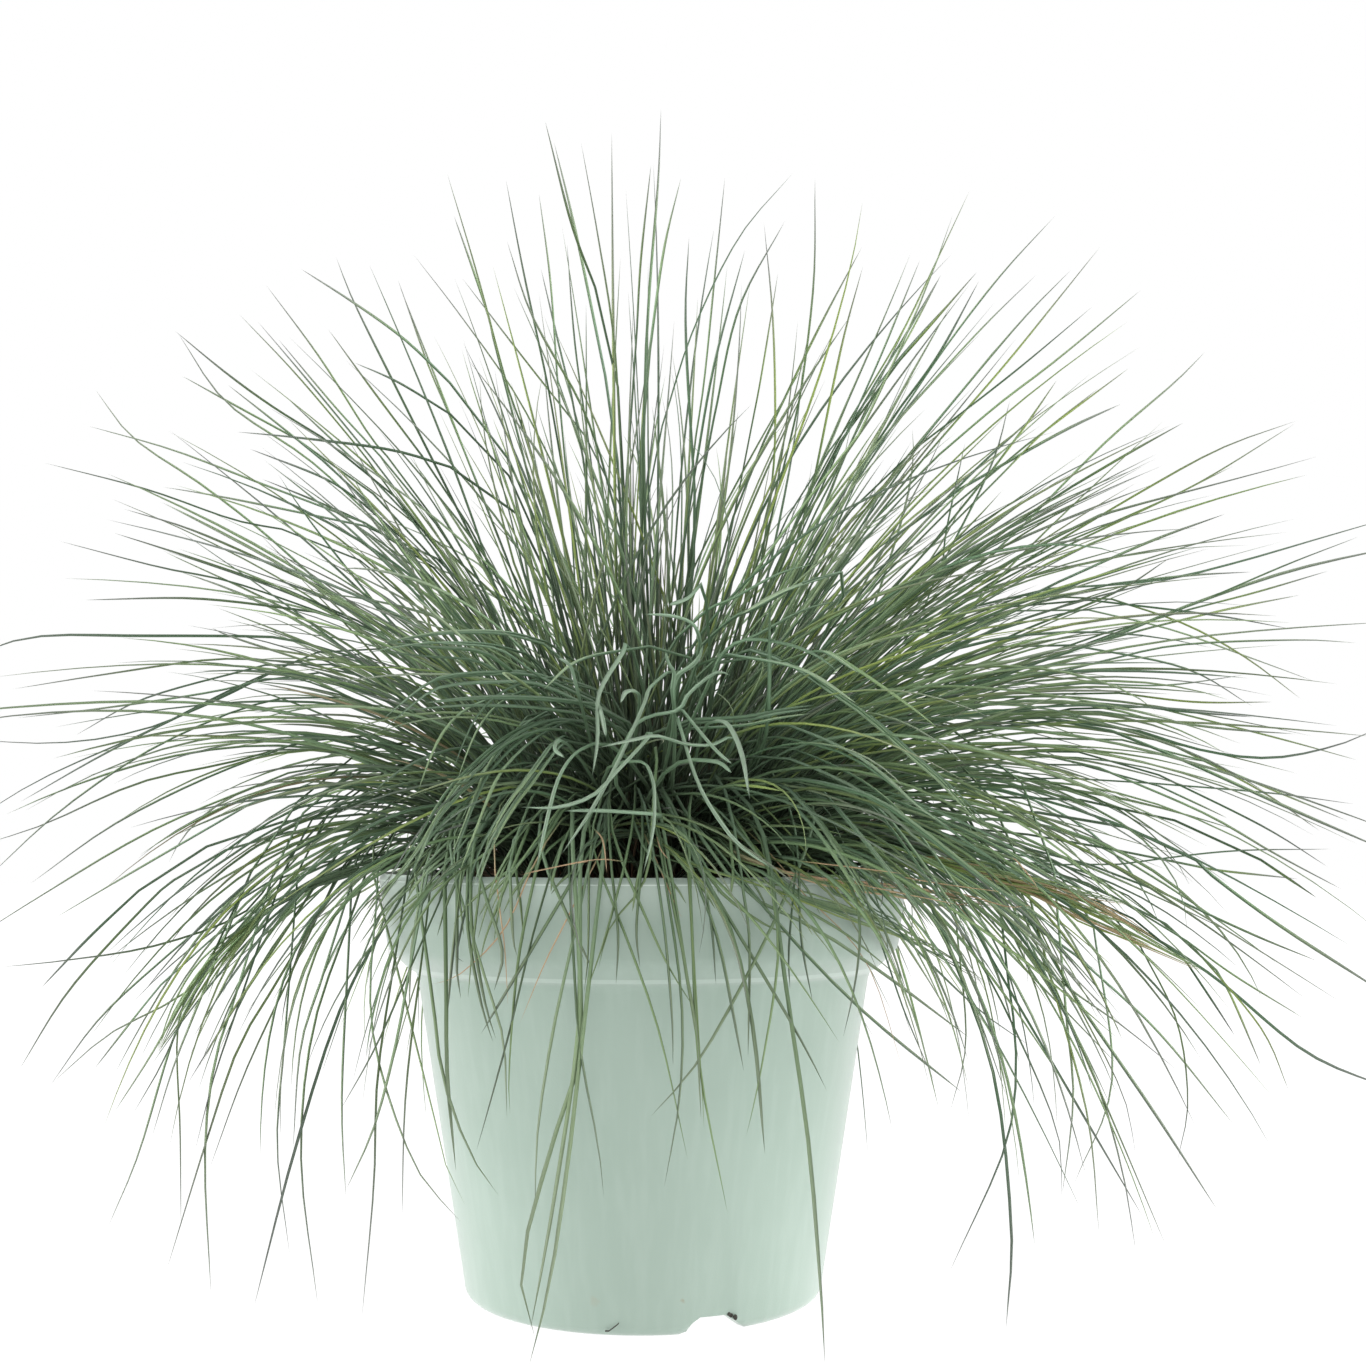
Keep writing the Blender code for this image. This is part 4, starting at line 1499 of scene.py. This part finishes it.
SWEEPS = (
    ((457, 782), (467, 754), (480, 726), (500, 703), (530, 688), (565, 682)),
    ((770, 627), (769, 649), (769, 708), (765, 738)),
    ((815, 705), (780, 710), (745, 717), (691, 720)),
    ((459, 773), (469, 772), (487, 751), (515, 731), (546, 721), (571, 723)),
    ((385, 889), (418, 848), (444, 805), (464, 777), (500, 744), (533, 723)),
    ((413, 874), (431, 830), (457, 797), (482, 774), (523, 723)),
    ((446, 876), (464, 830), (477, 797), (492, 769), (523, 739), (553, 723)),
    ((487, 843), (508, 805), (528, 779), (553, 744), (564, 736)),
    ((472, 889), (490, 843), (513, 805), (543, 764)),
    ((423, 702), (482, 697), (543, 698), (594, 704)),
    ((380, 722), (418, 690), (444, 676), (495, 672), (538, 674), (594, 699)),
    ((380, 644), (441, 634), (502, 634), (543, 644)),
    ((380, 642), (431, 647), (482, 652), (513, 672), (543, 693)),
    ((843, 572), (802, 583), (756, 608), (731, 619), (700, 647)),
    ((1001, 838), (981, 818), (955, 790), (919, 759), (879, 723), (843, 698), (802, 670), (764, 656)),
    ((955, 864), (919, 841), (889, 813), (858, 790), (822, 772), (789, 759)),
    ((1070, 938), (1032, 910), (981, 876), (930, 836), (879, 800), (833, 785), (802, 779)),
    ((981, 943), (955, 910), (930, 874), (894, 825), (858, 790)),
    ((1098, 905), (1040, 872), (985, 840), (930, 815), (880, 795), (835, 788)),
    ((868, 900), (845, 862), (818, 822), (790, 790)),
    ((936, 930), (905, 890), (870, 846), (838, 808)),
)
YELLOW_SWEEPS = (
    ((940, 730), (919, 713), (894, 695), (853, 667), (828, 652), (810, 652)),
    ((782, 791), (760, 787), (735, 785)),
)
STRAW_CURLS = (
    ((607, 873), (603, 841), (593, 828)),
    ((525, 873), (577, 863), (596, 861)),
    ((669, 860), (660, 848), (655, 830)),
    ((520, 875), (593, 860), (629, 862)),
    ((1032, 905), (1009, 907), (980, 899), (930, 885)),
    ((1039, 891), (1030, 877), (1006, 851), (983, 844)),
    ((1010, 893), (930, 882), (860, 868)),
    ((960, 905), (900, 893), (840, 880)),
    ((905, 874), (850, 867), (790, 860)),
    ((1003, 941), (993, 934), (975, 925)),
)
BUNDLES = (
    # a route from the tip inwards, blades, half its width in pixels, first and last tone, dry share
    (((1202, 970), (1154, 944), (1119, 927), (1086, 911), (1054, 896), (1025, 886), (960, 868)),
     22, 11, 0.6, 1.0, 0.50),
    (((1130, 905), (1060, 890), (990, 874), (920, 858)), 9, 9, 0.8, 1.0, 0.3),
    (((1045, 888), (1010, 876), (965, 866), (915, 856)), 10, 8, 0.8, 1.0, 0.1),
    (((158, 1052), (182, 1008), (214, 962), (262, 915)), 12, 13, 0.9, 1.0, 0.0),
)
CURL_TIP_DEPTH = 292.0 * MM
CURL_FIRST_DEPTH = 350.0 * MM
CURL_TONE = -1.0
ARCH_TONE = -0.4
SWEEP_SPREADS = (0, 9, 14)
CURL_WIDTHS = (0.74, 0.92)
ARCH_WIDTH_IN_FRONT = 0.80 * MM
SWEEP_WIDTHS = (0.68, 0.86)
YELLOW_WIDTH = 0.70 * MM
THIN_STRAW_WIDTH = 0.32 * MM
BUNDLE_WIDTHS = (0.5, 0.7)


def curl_path(route, nearness=1.0):
    """Path of a blade that comes forwards; its route is given from the tip inwards."""
    tip_depth = CURL_TIP_DEPTH + rng.uniform(-25, 25) * MM
    inner_depth = CURL_FIRST_DEPTH + rng.uniform(-10, 10) * MM
    depths = np.linspace(inner_depth, tip_depth, len(route)) * nearness + CAMERA_DISTANCE * (1 - nearness)
    places = np.array([seen_at(pixel, depth) for pixel, depth in zip(route[::-1], depths)])
    return rooted(places, root_radius=rng.uniform(10, 28) * MM, first_lean=rng.uniform(10, 25), rise=1.0)


def straw_path(route):
    return curl_path(route, 0.6)


def bundle_path(route):
    return curl_path(route, 0.25)


for route in CURLS:
    add_traced(curl_path(route), rng.uniform(*CURL_WIDTHS) * MM, CURL_TONE, taper=0.86)
for route in ARCHES:
    add_traced(curl_path(route, 0.8), ARCH_WIDTH_IN_FRONT, ARCH_TONE, taper=0.80)
for route in SWEEPS:
    for spread in SWEEP_SPREADS:
        beside = np.array(route) + rng.normal(0, 1, 2) * spread
        add_traced(curl_path(beside, 0.6), rng.uniform(*SWEEP_WIDTHS) * MM, rng.uniform(-0.7, 0.0))
for route in YELLOW_SWEEPS:
    add_traced(curl_path(route, 0.7), YELLOW_WIDTH, 0.8)
for route in STRAW_CURLS:
    add_traced(clear_path(route, straw_path, round_rim_path), THIN_STRAW_WIDTH, STRAW_TONE, STRAW)
for route, blades, half_width, first_tone, last_tone, dry_share in BUNDLES:
    for copy, edge in side_by_side(route, blades, half_width):
        dry = STRAW * 0.8 if rng.random() < dry_share * 2 * edge else 0.0
        copy = copy[rng.integers(0, 3):]
        path = clear_path(copy, bundle_path, round_rim_path)
        add_traced(path, rng.uniform(*BUNDLE_WIDTHS) * MM, rng.uniform(first_tone, last_tone), dry)
print(f"{len(CURLS)} curls, {len(SWEEPS)} groups of sweeps, {len(BUNDLES)} bundles")
print(f"{len(too_near)} traced blades are less than {POT_GAP / MM:.1f} mm off the pot")

# %% [markdown]
# ## The blade's colour
#
# Blue fescue is blue because of a thin wax bloom on the leaf's back, over a deep green; the
# flanks are bare and green. The flanks get a painted yellow light towards the tip, and one of
# them a painted shade; the bloom gets a painted backlight towards the tip. Near the soil and in
# the crown the blade gets painted shade and its foot is brownish, towards the tip it fades to
# grey, and a few blades are yellowish or dried to straw. The material reads the four point
# values and the UV map, and blends from colour to colour.
# The palette comes first.

# %% The blade's palette
BLUE_BLOOM = (0.166, 0.270, 0.180)
GREEN_BLOOM = (0.202, 0.328, 0.148)
# painted backlight on the outer blade
PAINTED_BACKLIGHT_BLOOM = (0.265, 0.360, 0.145)
PALE_BLOOM = (0.178, 0.252, 0.174)
GREEN_FLANK = (0.082, 0.160, 0.084)
# painted yellow light on the flanks
PAINTED_SUN_FLANK = (0.315, 0.410, 0.090)
PALE_FLANK = (0.150, 0.235, 0.150)
# painted shade on one flank
PAINTED_SHADE_FLANK = (0.045, 0.078, 0.048)
RIB = (0.31, 0.40, 0.27)
SPOT = (0.12, 0.20, 0.10)
DARK_BLADE = (0.060, 0.125, 0.046)
GREY_TIP = (0.180, 0.190, 0.178)
# painted shade on the lower blade
PAINTED_SHADE_LOW = (0.058, 0.095, 0.052)
# painted shade in the crown
PAINTED_CROWN_SHADE = (0.034, 0.044, 0.027)
BROWN_FOOT = (0.190, 0.118, 0.075)
DARK_STRAW = (0.40, 0.26, 0.15)
PALE_STRAW = (0.54, 0.42, 0.25)
# painted shade on straw in the crown
PAINTED_STRAW_SHADE = (0.09, 0.06, 0.04)
CROWN = (0, 0, SOIL_LEVEL + 8 * MM)
print("the crown's middle is", CROWN)

# %% [markdown]
# The blends go from the largest pattern to the smallest: bloom and flank with their painted
# light, the painted shade of one flank, ribs and spots, tip, the painted shade of the lower
# blade and the crown, the foot, and last of all straw where a blade is dry, with its own painted
# shade in the crown.

# %% The blade's colour
leaf = new_finish("fescue_blade")
along = leaf.attribute("along")
tone = leaf.attribute("tone")
dry = leaf.attribute("dry")
fade = leaf.attribute("fade")
uv_place = leaf.node("ShaderNodeUVMap", {"uv_map": "blade"})
round_blade = leaf.node("ShaderNodeSeparateXYZ", {}, {0: uv_place}, "X")
back = 1.0 - round_blade.step(0.32, 0.35)
under = round_blade.step(0.65, 0.68)
streak = leaf.noise(leaf.node("ShaderNodeMapping", {}, {"Vector": uv_place, "Scale": (9, 1.5, 1)}), 3.0, 3.0)
mottle = leaf.noise(leaf.place(), 140.0, 2.0)
# Pale curls: thick bloom, and painted light on their outer part that also holds off the painted shade.
pale_and_lit = (0.0 - tone).step(0.0, 1.0) * along.step(0.25, 0.60)
crown = leaf.node("ShaderNodeVectorMath", {"operation": "DISTANCE"}, {0: leaf.place(), 1: CROWN}, "Value")
own = leaf.noise(tone * 61.0, 5.0).step(0.38, 0.62)
bloom = leaf.blend(tone, BLUE_BLOOM, GREEN_BLOOM)
# Painted backlight: the bloom turns lighter and yellower towards the tip.
bloom = leaf.blend(along.step(0.35, 0.80) * 0.6, bloom, PAINTED_BACKLIGHT_BLOOM)
bloom = leaf.blend(pale_and_lit, bloom, PALE_BLOOM)
# Painted yellow light on the flanks, stronger towards the tip.
painted_sun = tone.step(0.25, 1.0) * (0.10 + 0.90 * along.step(0.25, 0.65))
flank = leaf.blend(painted_sun, GREEN_FLANK, PAINTED_SUN_FLANK)
flank = leaf.blend(pale_and_lit, flank, PALE_FLANK)
fresh = leaf.blend(back, flank, bloom)
# Painted shade on the blade's third side, one of its flanks.
fresh = leaf.blend(under * (1.0 - pale_and_lit) * 0.60, fresh, PAINTED_SHADE_FLANK)
fresh = leaf.blend(streak.step(0.45, 0.8) * 0.30, fresh, RIB)
fresh = leaf.blend(mottle.step(0.55, 0.75) * 0.25, fresh, SPOT)
fresh = leaf.blend(own * (1.0 - pale_and_lit) * 0.38, fresh, DARK_BLADE)
fresh = leaf.blend(along.step(0.55, 0.95) * fade, fresh, GREY_TIP)
# Painted shade: darker towards the soil.
fresh = leaf.blend((1.0 - along.step(0.08, 0.50)) * 0.75, fresh, PAINTED_SHADE_LOW)
# Painted shade: darker near the crown's middle, except on the pale curls.
fresh = leaf.blend((1.0 - crown.step(30 * MM, 95 * MM)) * 0.74 * (1.0 - pale_and_lit), fresh, PAINTED_CROWN_SHADE)
fresh = leaf.blend(1.0 - along.step(0.03, 0.16), fresh, BROWN_FOOT)
straw = leaf.blend(streak.step(0.4, 0.7), DARK_STRAW, PALE_STRAW)
# Painted shade on straw near the crown's middle.
straw = leaf.blend((1.0 - crown.step(40 * MM, 75 * MM)) * 0.6, straw, PAINTED_STRAW_SHADE)
colour = leaf.blend(dry * along.step(0.35, 0.55), fresh, straw)
ribs = leaf.node("ShaderNodeBump", {}, {"Strength": 0.25, "Distance": 0.0001, "Height": streak})
blade_material = leaf.finish(
    Base_Color=colour, Roughness=0.50 + streak * 0.15, Normal=ribs, Specular_IOR_Level=0.35)
print(f"blade colour: {len(leaf.tree.nodes)} nodes")

# %% [markdown]
# ## The tufts
#
# Each bunch becomes one mesh, and stands for its tuft's solid in the frame.

# %% The tufts
for name, bunch in bunches.items():
    mesh = bunch_mesh(f"blades_{name[-2:]}", bunch)
    mesh.materials.append(blade_material)
    piece = bpy.data.objects.new(mesh.name, mesh)
    bpy.context.scene.collection.objects.link(piece)
    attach(piece, "root")
    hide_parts(name)
print(f"{len(bunches)} tufts, {sum(len(bunch.paths) for bunch in bunches.values())} blades")

# %% [markdown]
# ## The studio
#
# The plant stands on a plain white table in a white tent. The light comes from all round, and
# most of it from the left and the right, so the pot is paler at its edges than in the middle.
# The table glows by itself, as the photograph's ground shows no shadow at all. It is only just
# white: a brighter one would eat the thin blades in front of it. A large lamp hangs above the
# plant, and a small one by the camera reaches in between the blades.

# %% The studio
TABLE_RADIUS = 4.0
TABLE_GLOW = 1.0
TABLE_GREY = 0.04
deselect()
bpy.ops.mesh.primitive_circle_add(vertices=96, radius=TABLE_RADIUS, fill_type="TRIFAN", location=(0, 0, 0))
floor = bpy.context.object
floor.name = "white_table"
table = new_finish("white_table")
floor.data.materials.append(table.finish(
    Base_Color=(TABLE_GREY, TABLE_GREY, TABLE_GREY, 1), Roughness=0.9,
    Emission_Color=(1, 1, 1, 1), Emission_Strength=TABLE_GLOW))
print(f"table {2 * TABLE_RADIUS:.0f} m across")

# %% [markdown]
# The tent's walls are the world's background: its strength grows towards both sides with the
# fourth power of X, and a little towards the back. The camera itself sees it plain white.

# %% Light
EVEN_LIGHT = 0.07
SIDE_LIGHT = 7.00
BACK_LIGHT = 0.06
world = bpy.data.worlds.new("studio")
bpy.context.scene.world = world
sky = Recipe(world, "Background")
towards = sky.node("ShaderNodeTexCoord", output="Generated")
to_side = sky.node("ShaderNodeSeparateXYZ", {}, {0: towards}, "X")
to_back = sky.node("ShaderNodeSeparateXYZ", {}, {0: towards}, "Y")
seen_direct = sky.node("ShaderNodeLightPath", output="Is Camera Ray")
squared = to_side * to_side
light_from = EVEN_LIGHT + SIDE_LIGHT * squared * squared + BACK_LIGHT * (1.0 + to_back)
sky.finish(Color=(1, 1, 1, 1), Strength=seen_direct + (1.0 - seen_direct) * light_from)
bpy.context.scene.view_settings.view_transform = "Standard"


def soft_light(name, place, target, size, power):
    lamp = bpy.data.lights.new(name, "AREA")
    lamp.shape = "SQUARE"
    lamp.size = size
    lamp.energy = power
    holder = bpy.data.objects.new(name, lamp)
    holder.location = place
    direction = Vector(target) - Vector(place)
    holder.rotation_euler = direction.to_track_quat("-Z", "Y").to_euler()
    bpy.context.scene.collection.objects.link(holder)


soft_light("top_light", place=(0.2, 0.3, 1.3), target=(0, 0, 0.15), size=0.9, power=8.0)
soft_light("front_light", place=(0, -1.3, 0.12), target=(0, 0, 0.10), size=0.5, power=3.6)
print("studio ready")

# %% Last update
bpy.context.view_layer.update()
